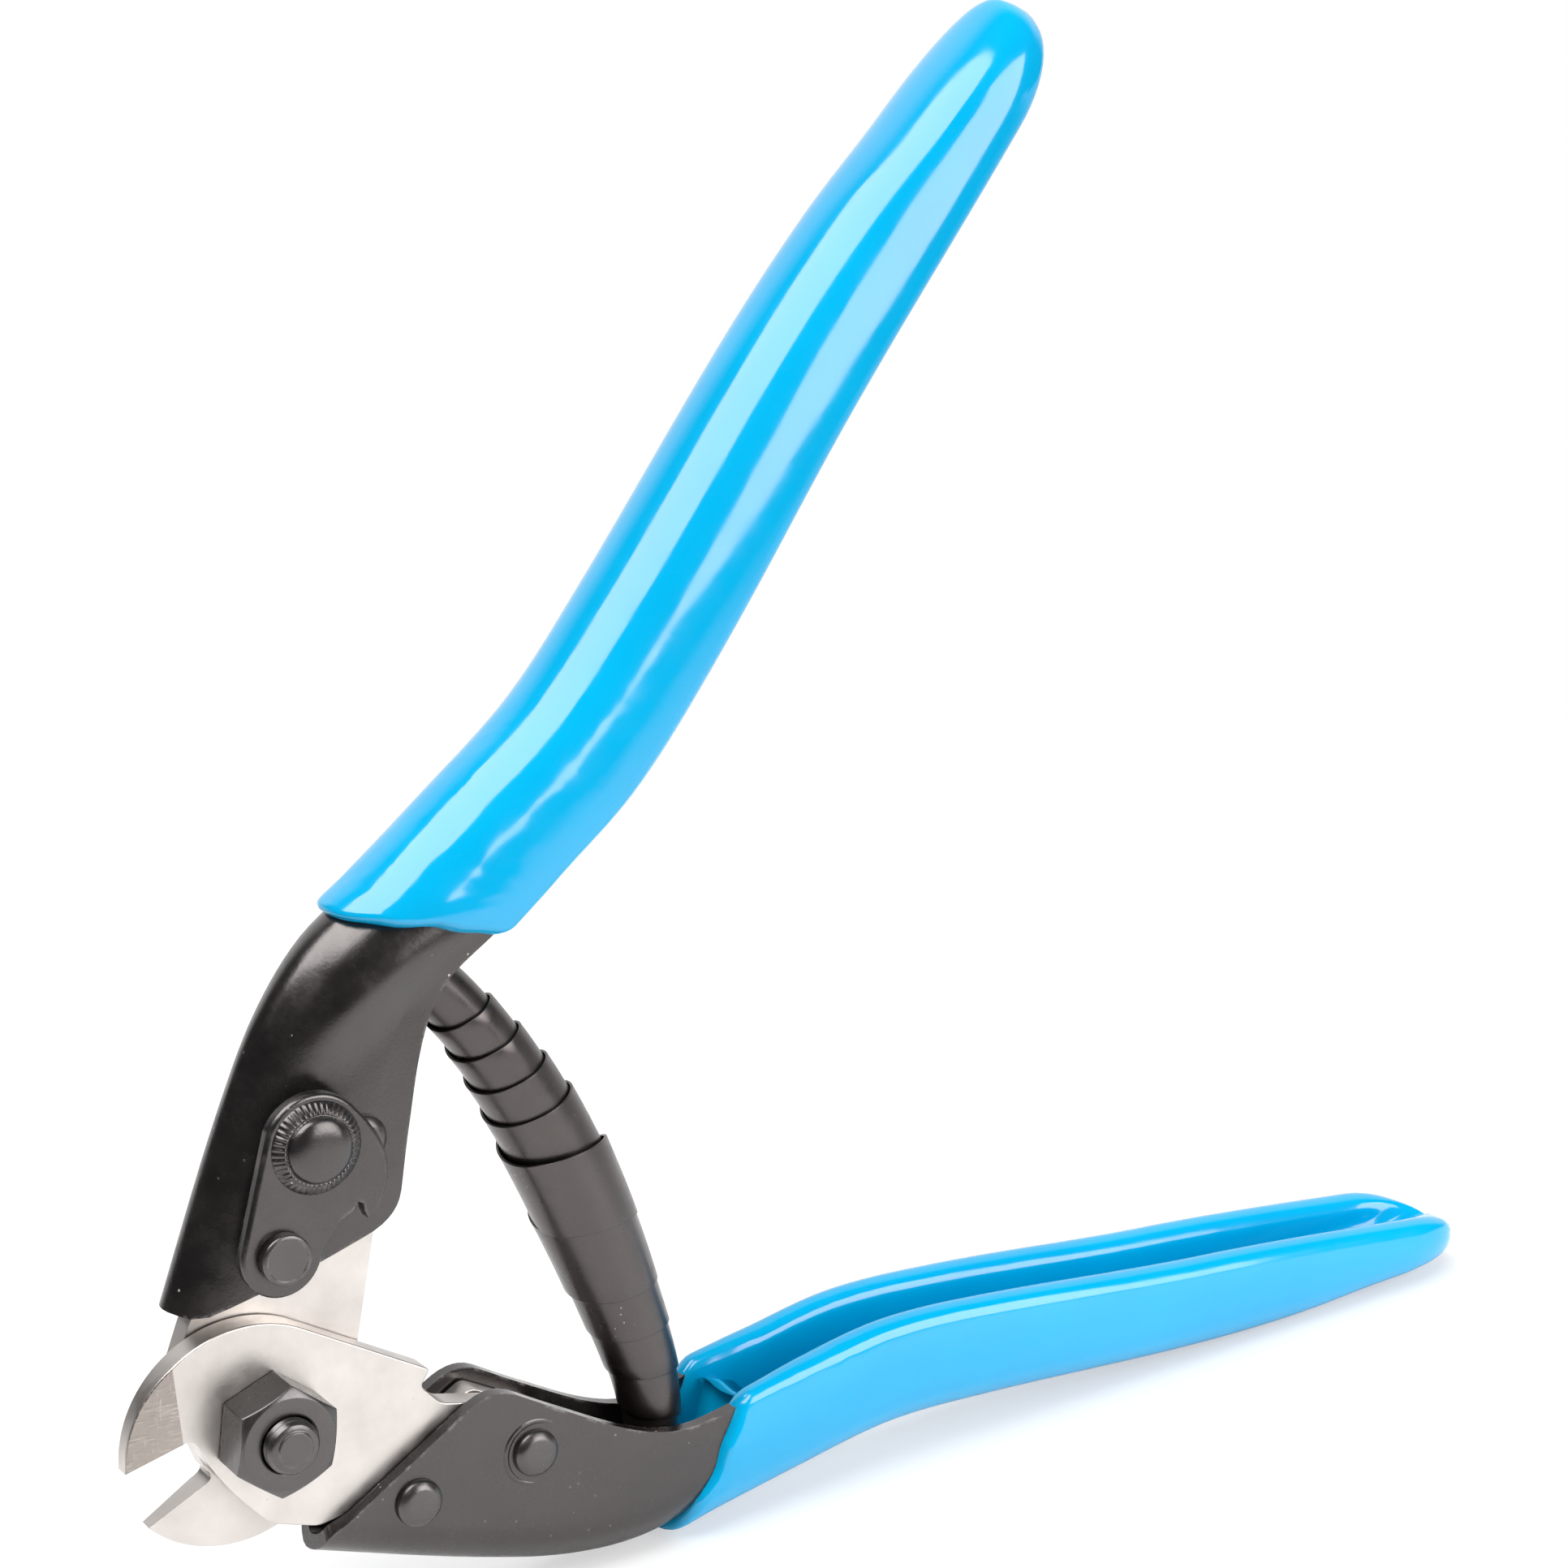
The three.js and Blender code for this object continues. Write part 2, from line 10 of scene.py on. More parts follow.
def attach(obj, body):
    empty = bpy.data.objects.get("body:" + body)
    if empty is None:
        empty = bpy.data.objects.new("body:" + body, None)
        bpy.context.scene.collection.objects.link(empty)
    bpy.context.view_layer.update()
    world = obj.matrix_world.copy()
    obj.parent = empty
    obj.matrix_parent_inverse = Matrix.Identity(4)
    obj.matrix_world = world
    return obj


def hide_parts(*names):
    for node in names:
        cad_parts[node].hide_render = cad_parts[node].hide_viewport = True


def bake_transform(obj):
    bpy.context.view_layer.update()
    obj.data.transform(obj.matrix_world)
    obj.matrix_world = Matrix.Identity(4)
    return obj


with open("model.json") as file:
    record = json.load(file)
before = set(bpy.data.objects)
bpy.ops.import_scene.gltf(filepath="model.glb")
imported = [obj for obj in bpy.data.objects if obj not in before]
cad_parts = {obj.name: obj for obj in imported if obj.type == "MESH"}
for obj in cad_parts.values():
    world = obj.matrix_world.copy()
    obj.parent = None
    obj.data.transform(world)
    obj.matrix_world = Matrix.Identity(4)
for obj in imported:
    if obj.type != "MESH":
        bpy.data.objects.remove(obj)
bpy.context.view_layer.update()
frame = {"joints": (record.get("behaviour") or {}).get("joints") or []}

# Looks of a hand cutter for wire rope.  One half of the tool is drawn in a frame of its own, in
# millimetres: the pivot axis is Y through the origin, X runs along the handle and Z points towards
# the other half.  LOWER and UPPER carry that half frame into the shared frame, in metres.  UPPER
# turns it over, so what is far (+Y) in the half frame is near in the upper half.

# ---- frames

MM = 0.001
TILT = math.radians(22.01938)  # half frame's X axis below the horizon
OPEN_ANGLE = math.radians(88.5)  # between the two half frames at rest
joints = {joint["name"]: joint for joint in frame["joints"]}
PIVOT = Vector(joints["main_pivot"]["pos_m"])

LOWER = Matrix.Translation(PIVOT) @ Matrix.Rotation(TILT, 4, 'Y') @ Matrix.Scale(MM, 4)
BISECTOR = Vector((math.cos(OPEN_ANGLE / 2), 0, math.sin(OPEN_ANGLE / 2)))
UPPER = LOWER @ Matrix.Rotation(math.pi, 4, BISECTOR)
HALVES = {"lower": LOWER, "upper": UPPER}

# ---- dimensions in millimetres

BLADE = 2.9
SHEAR_GAP = 0.15
WALL = 1.5
FIT = 0.3
COAT = 0.9
HEAD_HALF = SHEAR_GAP + BLADE + FIT + WALL
SHANK_HALF = 6.3

OPEN_EDGE = [(2, 8.8), (23, 6.5), (31.5, 5), (41, 3.7), (47, 4.4), (53, 7.6), (60, 11.8),
             (70.5, 17.6), (84, 22), (114, 29.8), (145, 39.2), (162, 44)]
FOLD_EDGE = [(2, -12.8), (17, -13), (30, -12.7), (39, -11.8), (47, -9.4), (54, -5), (63, 0.3),
             (75, 7), (88, 11.5), (118, 20.3), (133, 25.6), (145, 31), (162, 38)]
HEAD_LOW = (9.3, -10.3)
HEAD_CORNER = (22.9, 6.5)
CORNER_RADIUS = 3.2
CORNER_DEPTH = 3.0
STEEL_SHOWN_TO = 62
ROUND_SHARE = 0.7  # share of the channel's depth that its rounding takes
NEAR_WIDENS = (26, 56)  # where the near wall of the steel widens
FAR_STEP_FROM = (44, 32)  # where the far wall steps out: at its edge, at the fold
FAR_STEP_DEPTHS = (0.08, 0.7)
FAR_STEP = 11
FAR_ROUNDS = (ROUND_SHARE, 0.79)
FAR_ROUND_SPAN = (22, 48)
SHEET_EDGE = 0.32

DIP_TOP = (53, 9.5)
DIP_BACK = (49.3, -12)
MOUTH_RIM = 1.1
MOUTH_FADE = 18  # way in which the rings turn square to the handle
MOUTH_WAVES = ((0.22, 0.55, 1.0), (0.12, 1.3, 0.0))  # height, rate and phase
GRIP_WIDENS = (32, 50)
GRIP_OUT = FIT + COAT  # plastic outside the steel
GRIP_IN = 1.0  # plastic inside the steel
GRIP_IN_SPAN = (52, 62)
TIP_START = 148
TIP_ENDS = {"lower": 158.6, "upper": 161.3}
TIP_CLOSED = 0.995
TIP_LIFT = 0.18
TIP_DEPTH_POWER = 0.6
TIP_WIDTH_POWER = 0.8
LIP_DROPS = {"lower": 1.8, "upper": 0}  # how far the open edge sinks towards the tip
DROP_FROM = 115
LIP_TUCK = 0.05
TUCK_DEPTH = 0.3
FLARE = 0.1  # how much wider the open edge is than the fold
FLARE_SPAN = (60, 100)
BEAD_HALF_SHARE = 0.46  # largest bead on the open edge, against the half width
BEAD_DEPTH_SHARE = 0.4  # the same against the depth
POCKET_END = 158.5
POCKET_BOW = 3.5
POCKET_FADE = 8
WEB_X = 56.4
WEB_GAP = 0.2
WEB_THIN = 0.45
WEB_THICKENS = 1.5
WEB_RIM_POWER = 7
WEB_SAG = 0.34
WEB_SQUARENESS = 0.45

JAW_CENTRE = (-1.3, -2.2)
JAW_RADIUS = 12.5
JAW_TOP_ANGLE = 78.5
FRONT_JAW = {"tip": 199.5, "throat": (-8.4, -2.6), "notch": True}
REAR_JAW = {"tip": 206.5, "throat": (-7.6, -3.2), "notch": False}
GRIND_FROM = Vector((-11.1, 3.6))
GRIND_TO = Vector((-8.4, -2.6))
GRIND_SLOPE = math.tan(math.radians(10))
GRIND_REACH = 2.4
BLADE_EDGE = 0.5
SPACER_EDGE = 0.2
CUTTING_SHARE = 0.2  # cutting edges are rounded this much less
INNER_SHARE = 0.25  # and so are the edges between the two blades
CORNER = 0.8
NOTCH_ROUND = 0.5
SHANK_TOP = (33, 3.4)
SHANK_SHOULDER = (25, 4.6)
SHANK_BACK = (33, -5)
SHANK_UNDER = (20, -8.7)
SHANK_FOOT = (10.6, -8.7)
HEEL = (3.4, -9.9)
MOUTH_LOW = (-6.1, -3.6)

BOLT_R = 2.9
NUT_FLATS = 10
NUT_TURN = math.radians(-11)
NUT_HEIGHT = 5.2
NUT_CONE = 0.94 * NUT_FLATS / 2  # flat left by the chamfer
CHAMFER_SLOPE = math.tan(math.radians(30))
BORE_CHAMFER = 0.15
HEX_EDGE = 0.14
BOLT_STICKS_OUT = 1.6
BOLT_HEAD = 3.6
THREAD_CREST = 2.82
THREAD_ROOT = 2.45
THREADS_SHOWN = 3
WASHER_R = 6
WASHER = 0.8
RING_EDGE = 0.15
RIVET_R = 1.7
RIVET_HEAD_R = 2.5
RIVET_HEAD = 1.0
RIVET_FLAT = 0.72 * RIVET_HEAD_R
RING_PROFILE = [(2.75, -0.05), (3.0, -0.02), (3.25, 0.12), (3.5, 0.12), (3.8, -0.05)]
CENTRE_R = 0.01  # closes a turned end on its axis
FRONT_RIVET = (17.9, -6)
REAR_RIVET = (30, 0.2)

LATCH = 1.5
LATCH_WASHER = 1.0
LATCH_PIVOT_LOBE = 4.2
LATCH_BUTTON = (28.9, -5.8)
LATCH_BUTTON_LOBE = 5.4
LATCH_EDGE = 0.5
HOOK_SHARE = 0.3  # rounding of the hook's mouth against LATCH_EDGE
LOW_SHARE = 0.4  # and of the edges on the handle's side
BUTTON_R = 3.3
BUTTON_HEIGHT = 2.0
BUTTON_SHOULDER = 1.0
DOME_POWER = 2.6
# Skirt below the dome: radius past the dome's, height, and share of the notches' depth.
BUTTON_SKIRT = [(0.06, 0.82, 0), (0.16, 0.78, 0), (0.28, 0.92, 0.4), (0.36, 0.93, 1), (0.7, 0.72, 1),
                (1.05, 0.46, 1), (1.25, 0.26, 0.9), (1.35, 0.1, 0.3), (1.43, -0.1, 0)]
BUTTON_TEETH = 48
BUTTON_NOTCH = 0.2
LATCH_HEAD_R = 2.55
LATCH_HEAD = 1.1
LATCH_RIVET_FLAT = 1.8

SPRING_AXIS = [(49.2, -2.5), (44.6, 7.7), (38, 16.8), (30, 26.4), (20.2, 36.2), (10, 43.8),
               (-1.2, 49.3)]
WIDEST = -2.6  # widest turn, from the middle of the axis
STRIP_WIDTH = 9.6
STRIP = 0.3
STRIP_EDGE = 0.08
COIL_MAX_R = 5.45
COIL_STEP = 0.45  # radius lost per turn above the widest
COIL_STEP_BELOW = 0.32
COIL_TAPER_BELOW = 0.027
CONE_BELOW = 0.045  # slope of the strip against the axis, from the widest down
COIL_STATIONS = [(-5.0, -26.5), (1, 5.3), (4.5, 20.7), (5.9, 32.0)]  # turn, way from the widest
MID_TURN_EXTRA = 4.1  # added pitch in the middle turn
FLAT_TURN = 0.4  # half the middle turn, at full radius
STEP_TURN = 0.2  # part of a turn in which the first step is lost
SEAT_PROFILE = [(CENTRE_R, -1.8), (2, -1.8), (2, -1.2), (3, -1.2), (3, 0), (2, 0), (2, 4), (CENTRE_R, 4)]

BLADE_FACE = SHEAR_GAP + BLADE
NUT_UNDER = -(BLADE_FACE + FIT / 2)
NUT_TOP = NUT_UNDER - NUT_HEIGHT
WASHER_LOW = BLADE_FACE + FIT / 2
HEAD_UNDER = WASHER_LOW + WASHER + FIT / 2
LATCH_WASHER_LOW = HEAD_HALF + FIT / 2
LATCH_WASHER_R = LATCH_PIVOT_LOBE - 0.8
LATCH_LOW = LATCH_WASHER_LOW + LATCH_WASHER + FIT / 2
LATCH_HIGH = LATCH_LOW + LATCH

# ---- small maths


def lerp(a, b, t):
    return a + (b - a) * t


def clamp(value, low=0.0, high=1.0):
    return max(low, min(high, value))


def smoothstep(value, low, high):
    t = clamp((value - low) / (high - low))
    return t * t * (3 - 2 * t)


def edge_height(points, x, offset=0.0):
    """Height of a smooth curve through the points, moved out by a normal distance."""
    i = 1
    while i < len(points) - 2 and x > points[i + 1][0]:
        i += 1
    i = min(i, len(points) - 3)

    def slope_at(k):
        (xa, za), (xb, zb) = points[k - 1], points[k + 1]
        return (zb - za) / (xb - xa)

    (x0, z0), (x1, z1) = points[i], points[i + 1]
    span = x1 - x0
    t = clamp((x - x0) / span)
    beyond = x - x0 - t * span
    start, end = slope_at(i), slope_at(i + 1)
    bend = 3 * (z1 - z0) - (2 * start + end) * span
    twist = (start + end) * span - 2 * (z1 - z0)
    slope = start + (2 * bend * t + 3 * twist * t * t) / span
    z = z0 + start * span * t + bend * t * t + twist * t ** 3 + slope * beyond
    return z + offset * math.hypot(1, slope)


def parabola(a, b, c, t):
    """Point at share t of the parabola that leaves a towards b and arrives at c."""
    return tuple(Vector(a) * (1 - t) ** 2 + Vector(b) * 2 * t * (1 - t) + Vector(c) * t * t)


def fillet(points, radius, steps=4, closed=False):
    """The polyline with each corner rounded; radius is one number or one for each point."""
    count = len(points)
    radii = radius if isinstance(radius, (list, tuple)) else [radius] * count
    result = []
    for i, point in enumerate(points):
        corner = Vector(point)
        is_end = not closed and i in (0, count - 1)
        if is_end or radii[i] <= 0:
            result.append(tuple(corner))
            continue
        before = Vector(points[i - 1]) - corner
        after = Vector(points[(i + 1) % count]) - corner
        reach = min(radii[i], before.length * 0.49, after.length * 0.49)
        a = corner + before.normalized() * reach
        b = corner + after.normalized() * reach
        result += [parabola(a, corner, b, k / steps) for k in range(steps + 1)]
    return result


def arc(centre, radius, start, end, steps):
    """Points of an arc in X and Z; angles in degrees."""
    points = []
    for k in range(steps + 1):
        angle = math.radians(lerp(start, end, k / steps))
        points.append((centre[0] + radius * math.cos(angle), centre[1] + radius * math.sin(angle)))
    return points


def around(steps):
    """Angles evenly spread over one turn."""
    return [2 * math.pi * k / steps for k in range(steps)]


def bezier(a, b, c, steps):
    return [parabola(a, b, c, k / steps) for k in range(1, steps + 1)]


# ---- mesh helpers


def link(name, data):
    obj = bpy.data.objects.new(name, data)
    bpy.context.scene.collection.objects.link(obj)
    return obj


def make_object(name, vertices, faces, half):
    """A mesh from points in the half frame, with double points merged and faces turned out."""
    mesh = bpy.data.meshes.new(name)
    mesh.from_pydata([half @ Vector(v) for v in vertices], [], faces)
    bm = bmesh.new()
    bm.from_mesh(mesh)
    bmesh.ops.remove_doubles(bm, verts=bm.verts, dist=1e-7)
    bmesh.ops.recalc_face_normals(bm, faces=bm.faces)
    bm.to_mesh(mesh)
    bm.free()
    return link(name, mesh)


def settle(obj, weighted=True):
    """Applies the modifiers, shades the piece smooth with flats kept flat, and returns it."""
    for polygon in obj.data.polygons:
        polygon.use_smooth = True
    if weighted:
        normals = obj.modifiers.new("normals", 'WEIGHTED_NORMAL')
        normals.keep_sharp = True
        normals.weight = 80
    depsgraph = bpy.context.evaluated_depsgraph_get()
    mesh = bpy.data.meshes.new_from_object(obj.evaluated_get(depsgraph))
    obj.modifiers.clear()
    obj.data = mesh
    return obj


def bevel(obj, width, segments=3, angle=None):
    """Rounds edges by their bevel weight, or those sharper than an angle in degrees."""
    modifier = obj.modifiers.new("bevel", 'BEVEL')
    modifier.width = width * MM
    modifier.segments = segments
    if angle is None:
        modifier.limit_method = 'WEIGHT'
    else:
        modifier.limit_method = 'ANGLE'
        modifier.angle_limit = math.radians(angle)


def grid_faces(rows, columns, closed):
    """Faces of a grid of points stored row by row; closed joins the last column to the first."""
    faces = []
    for i in range(rows - 1):
        for j in range(columns if closed else columns - 1):
            k = (j + 1) % columns
            faces.append((i * columns + j, i * columns + k, (i + 1) * columns + k, (i + 1) * columns + j))
    return faces


def lathe(name, profile, at, half, segments=64):
    """A turned piece on an axis parallel to Y: profile points are (radius, y)."""
    vertices = []
    for r, y in profile:
        for angle in around(segments):
            vertices.append((at[0] + r * math.cos(angle), y, at[1] + r * math.sin(angle)))
    return make_object(name, vertices, grid_faces(len(profile), segments, True), half)


def plate_mesh(outline, low, high, sharp, fine):
    """A flat plate in X and Z as a bmesh, and the layer of its bevel weights.

    sharp(i) says that the outline's edge from point i on is a cutting edge, which gets the
    weight fine in place of 1."""
    bm = bmesh.new()
    weight = bm.edges.layers.float.new("bevel_weight_edge")
    bottom = [bm.verts.new((x, low, z)) for x, z in outline]
    top = [bm.verts.new((x, high, z)) for x, z in outline]
    bm.faces.new(bottom)
    bm.faces.new(list(reversed(top)))
    count = len(outline)
    for i in range(count):
        k = (i + 1) % count
        bm.faces.new((bottom[i], top[i], top[k], bottom[k]))
    for i in range(count):
        k = (i + 1) % count
        for level in (bottom, top):
            edge = bm.edges.get((level[i], level[k]))
            edge[weight] = fine if sharp(i) else 1.0
        before = Vector(outline[i]) - Vector(outline[i - 1])
        after = Vector(outline[k]) - Vector(outline[i])
        if before.angle(after, 0) > math.radians(25):
            bm.edges.get((bottom[i], top[i]))[weight] = fine
    return bm, weight


def object_of(name, bm, half):
    """An object from a bmesh drawn in the half frame."""
    bmesh.ops.recalc_face_normals(bm, faces=bm.faces)
    for vertex in bm.verts:
        vertex.co = half @ vertex.co
    mesh = bpy.data.meshes.new(name)
    bm.to_mesh(mesh)
    bm.free()
    return link(name, mesh)


# ---- channel section

WALL_STEPS = (0, 0.015, 0.05, 0.1, 0.17, 0.27, 0.4, 0.55, 0.7, 0.85, 1)
BACK_STEPS = 18


def section_columns():
    """Places around the section, from the near edge down, round the back and up the far wall."""
    near = [(-1, share) for share in WALL_STEPS]
    back = [(0, math.pi * k / BACK_STEPS) for k in range(1, BACK_STEPS)]
    far = [(1, share) for share in reversed(WALL_STEPS)]
    return near + back + far


def section_point(column, half, top, back, far_round=ROUND_SHARE):
    """Point of the section; far_round is how much of its depth the far side's rounding takes."""
    side, value = column
    drop = min(half, ROUND_SHARE * (top - back))
    if side > 0 or (side == 0 and value > math.pi / 2):
        drop = max(drop, far_round * (top - back))
    low = back + drop
    if side:
        return side * half, lerp(top, low, value)
    return -half * math.cos(value), low - drop * math.sin(value)


def far_depth(column, far_round):
    """How deep a column of the far side lies, as a share of the channel's depth."""
    side, value = column
    return value * (1 - far_round) if side else 1 - far_round + far_round * math.sin(value)


def steel_half(x, side, depth):
    """Half width of the steel: the near wall widens slowly, the far one in a dished step that
    runs back further near the open edge than at the fold."""
    if side < 0:
        return lerp(HEAD_HALF, SHANK_HALF, smoothstep(x, *NEAR_WIDENS))
    start = lerp(*FAR_STEP_FROM, smoothstep(depth, *FAR_STEP_DEPTHS))
    return lerp(HEAD_HALF, SHANK_HALF, smoothstep(x, start, start + FAR_STEP))


def channel_half(x):
    """Half width of the channel as the grip and its web follow it."""
    return lerp(HEAD_HALF, SHANK_HALF, smoothstep(x, *GRIP_WIDENS))


# ---- handle

HANDLE_ROWS = 44


def head_start(column):
    """Where the steel begins in one column: on the slanting cut, rounded at the top corner."""
    x = HEAD_CORNER[0]
    for _ in range(6):
        top = edge_height(OPEN_EDGE, x)
        _, z = section_point(column, HEAD_HALF, top, edge_height(FOLD_EDGE, x))
        along = (z - HEAD_LOW[1]) / (HEAD_CORNER[1] - HEAD_LOW[1])
        x = lerp(HEAD_LOW[0], HEAD_CORNER[0], max(along, 0))
        depth = clamp((top - z) / CORNER_DEPTH)
        x += CORNER_RADIUS * (1 - math.sqrt(depth)) ** 2
    return x


def handle(name, half):
    """The pressed sheet: drawn as a surface from the slanting head on, then thickened inwards."""
    columns = section_columns()
    starts = [head_start(column) for column in columns]
    vertices = []
    for i in range(HANDLE_ROWS):
        for column, start in zip(columns, starts):
            x = lerp(start, STEEL_SHOWN_TO, i / (HANDLE_ROWS - 1))
            side = column[0] or math.copysign(1, column[1] - math.pi / 2)
            far_round = lerp(*FAR_ROUNDS, smoothstep(x, *FAR_ROUND_SPAN))
            wide = steel_half(x, side, far_depth(column, far_round))
            y, z = section_point(column, wide, edge_height(OPEN_EDGE, x),
                                 edge_height(FOLD_EDGE, x), far_round)
            vertices.append((x, y, z))
    obj = make_object(name, vertices, grid_faces(HANDLE_ROWS, len(columns), False), half)
    shell = obj.modifiers.new("sheet", 'SOLIDIFY')
    shell.thickness = WALL * MM
    shell.offset = -1
    shell.use_even_offset = True
    bevel(obj, SHEET_EDGE, segments=3, angle=50)
    return settle(obj)


# ---- grip

MOUTH_RINGS = 6
STRAIGHT_RINGS = 60
TIP_RINGS = 16
BEAD_STEPS = 8
INNER_STEPS = 30
CROWN_DEPTHS = (0, 0.03, 0.08, 0.14, 0.21, 0.29, 0.37, 0.45, 0.53, 0.61, 0.69)
CROWN_ROUND = 20
CROWN_DEPTH_POWER = 4
CROWN_WIDTH_POWER = 2.1


def crown_width(depth):
    """Half width of the grip's outside at a share of its depth, as a share of its fullest."""
    tuck = LIP_TUCK * max(0.0, 1 - depth / TUCK_DEPTH) ** 2
    return (1 - depth ** CROWN_DEPTH_POWER) ** (1 / CROWN_WIDTH_POWER) - tuck


def crown_places():
    """Places round the outside of the grip as (width share, depth share), near edge to far."""
    walls = [(-crown_width(depth), depth) for depth in CROWN_DEPTHS]
    widest = -walls[-1][0]
    back = []
    for k in range(1, CROWN_ROUND):
        width = -widest * math.cos(math.pi * k / CROWN_ROUND)
        depth = (1 - abs(width) ** CROWN_WIDTH_POWER) ** (1 / CROWN_DEPTH_POWER)
        back.append((width, depth))
    return walls + back + [(-width, depth) for width, depth in reversed(walls)]


def grip_ring(x, tau=1.0, squeeze=1.0):
    """One closed ring of the dipped plastic; tau grows the coat from the steel to full size, and
    squeeze shrinks the ring towards the tip."""
    out = lerp(-WALL / 2, GRIP_OUT, tau)
    thick = lerp(0.0, GRIP_OUT + WALL + GRIP_IN * smoothstep(x, *GRIP_IN_SPAN), tau)

    def shape(at):
        top = edge_height(OPEN_EDGE, at, out)
        back = edge_height(FOLD_EDGE, at, -out)
        depth = top - back
        share = squeeze ** TIP_DEPTH_POWER
        lifted = back + TIP_LIFT * depth * (1 - share)
        return lifted + depth * share, lifted, (channel_half(at) + out) * squeeze ** TIP_WIDTH_POWER

    def shifted(at, z):
        dip = DIP_BACK[0] + (z - DIP_BACK[1]) * (DIP_TOP[0] - DIP_BACK[0]) / (DIP_TOP[1] - DIP_BACK[1])
        fade = clamp(1 - (at - DIP_TOP[0]) / MOUTH_FADE) ** 2
        wave = sum(height * math.sin(rate * z + phase) for height, rate, phase in MOUTH_WAVES)
        return at + (dip - DIP_TOP[0] + wave) * fade

    top, back, half = shape(x)
    bead = min(thick / 2, BEAD_HALF_SHARE * half, BEAD_DEPTH_SHARE * (top - back))
    ring = []

    def add(place):
        """Adds place(top, back, half), which gives y and z; the ring slants along the dip line."""
        _, z = place(top, back, half)
        at = shifted(x, z) if squeeze >= 1 else x
        y, z = place(*shape(at))
        ring.append((at, y, z))

    for width, depth in crown_places():
        add(lambda t, b, h, w=width, d=depth: (w * h, lerp(t - bead, b, d)))

    def bead_point(side, angle, fill):
        def place(t, b, h):
            centre = h * (1 - LIP_TUCK) - bead
            y = side * (centre + bead * math.cos(angle))
            z = t - bead + bead * math.sin(angle)
            if angle > math.pi / 2:
                z = lerp(t, z, fill)
            return y, z
        return place

    def pocket(lateral):
        """1 where the inside is hollow, 0 past the pocket's bowed end."""
        end = POCKET_END - POCKET_BOW * lateral * lateral
        return smoothstep(end - x, 0, POCKET_FADE)

    for k in range(1, BEAD_STEPS + 1):
        add(bead_point(1, math.pi * k / BEAD_STEPS, pocket(1)))
    for k in range(1, INNER_STEPS):
        share = k / INNER_STEPS
        lateral = 1 - 2 * share
        fill = pocket(lateral)

        def inner(t, b, h, share=share, lateral=lateral, fill=fill):
            inside = h * (1 - LIP_TUCK) - 2 * bead
            rim = t - bead
            floor = b + thick
            drop = min(inside, ROUND_SHARE * (rim - floor))
            wall = rim - floor - drop
            path = wall * 2 + math.pi * (inside + drop) / 2
            gone = share * path
            if gone < wall:
                y, z = inside, rim - gone
            elif gone > path - wall:
                y, z = -inside, rim - (path - gone)
            else:
                angle = math.pi * (gone - wall) / (path - 2 * wall)
                y, z = inside * math.cos(angle), floor + drop - drop * math.sin(angle)
            return lerp(lateral * inside, y, fill), lerp(t, z, fill)

        add(inner)
    for k in range(0, BEAD_STEPS):
        add(bead_point(-1, math.pi * (1 - k / BEAD_STEPS), pocket(1)))
    return ring


def grip(name, half, tip_end, lip_drop):
    """The dipped grip: a rounded rim at the mouth, the long hollow part and the closing tip."""
    rings = []
    for k in range(MOUTH_RINGS + 1):
        angle = math.pi / 2 * k / MOUTH_RINGS
        rings.append(grip_ring(DIP_TOP[0] + MOUTH_RIM * (1 - math.cos(angle)), tau=math.sin(angle)))
    for k in range(1, STRAIGHT_RINGS + 1):
        rings.append(grip_ring(lerp(DIP_TOP[0] + MOUTH_RIM, TIP_START, k / STRAIGHT_RINGS)))
    for k in range(1, TIP_RINGS + 1):
        angle = math.pi / 2 * k / TIP_RINGS * TIP_CLOSED
        rings.append(grip_ring(lerp(TIP_START, tip_end, math.sin(angle)), squeeze=math.cos(angle)))
    columns = len(rings[0])
    vertices = []
    for ring in rings:
        low = min(z for _, _, z in ring)
        high = max(z for _, _, z in ring)
        for x, y, z in ring:
            share = clamp((z - low) / max(high - low, 0.01))
            wide = 1 + FLARE * share * smoothstep(x, *FLARE_SPAN)
            sunk = lip_drop * share * smoothstep(x, DROP_FROM, tip_end)
            vertices.append((x, y * wide, z - sunk))
    faces = grid_faces(len(rings), columns, True)
    last = (len(rings) - 1) * columns
    faces.append(tuple(last + j for j in range(columns)))
    return settle(make_object(name, vertices, faces, half), weighted=False)


def web(name, half):
    """A film of plastic across the channel, thin in the middle and thick where it meets the
    walls, with a sagging upper edge."""
    top = edge_height(OPEN_EDGE, WEB_X)
    back = edge_height(FOLD_EDGE, WEB_X)
    inside = channel_half(WEB_X) - WALL - WEB_GAP
    middle = (top + back + WALL) / 2
    reach = (top - back - WALL) / 2 - 2 * WEB_GAP
    columns = 40
    rims = 12
    vertices = []
    for side in (-1, 1):
        for i in range(rims + 1):
            share = i / rims
            thick = WEB_THIN + WEB_THICKENS * share ** WEB_RIM_POWER
            for angle in around(columns):
                rise = math.copysign(abs(math.sin(angle)) ** WEB_SQUARENESS, math.sin(angle))
                sag = 1 - WEB_SAG * math.sin(angle) ** 2 if math.sin(angle) > 0 else 1
                vertices.append((WEB_X + side * thick, inside * math.cos(angle) * share,
                                 middle + reach * rise * sag * share))
    count = (rims + 1) * columns
    faces = grid_faces(rims + 1, columns, True)
    faces += [tuple(v + count for v in face) for face in faces]
    outer = rims * columns
    for j in range(columns):
        k = (j + 1) % columns
        faces.append((outer + j, outer + k, count + outer + k, count + outer + j))
    return settle(make_object(name, vertices, faces, half), weighted=False)


# ---- blades


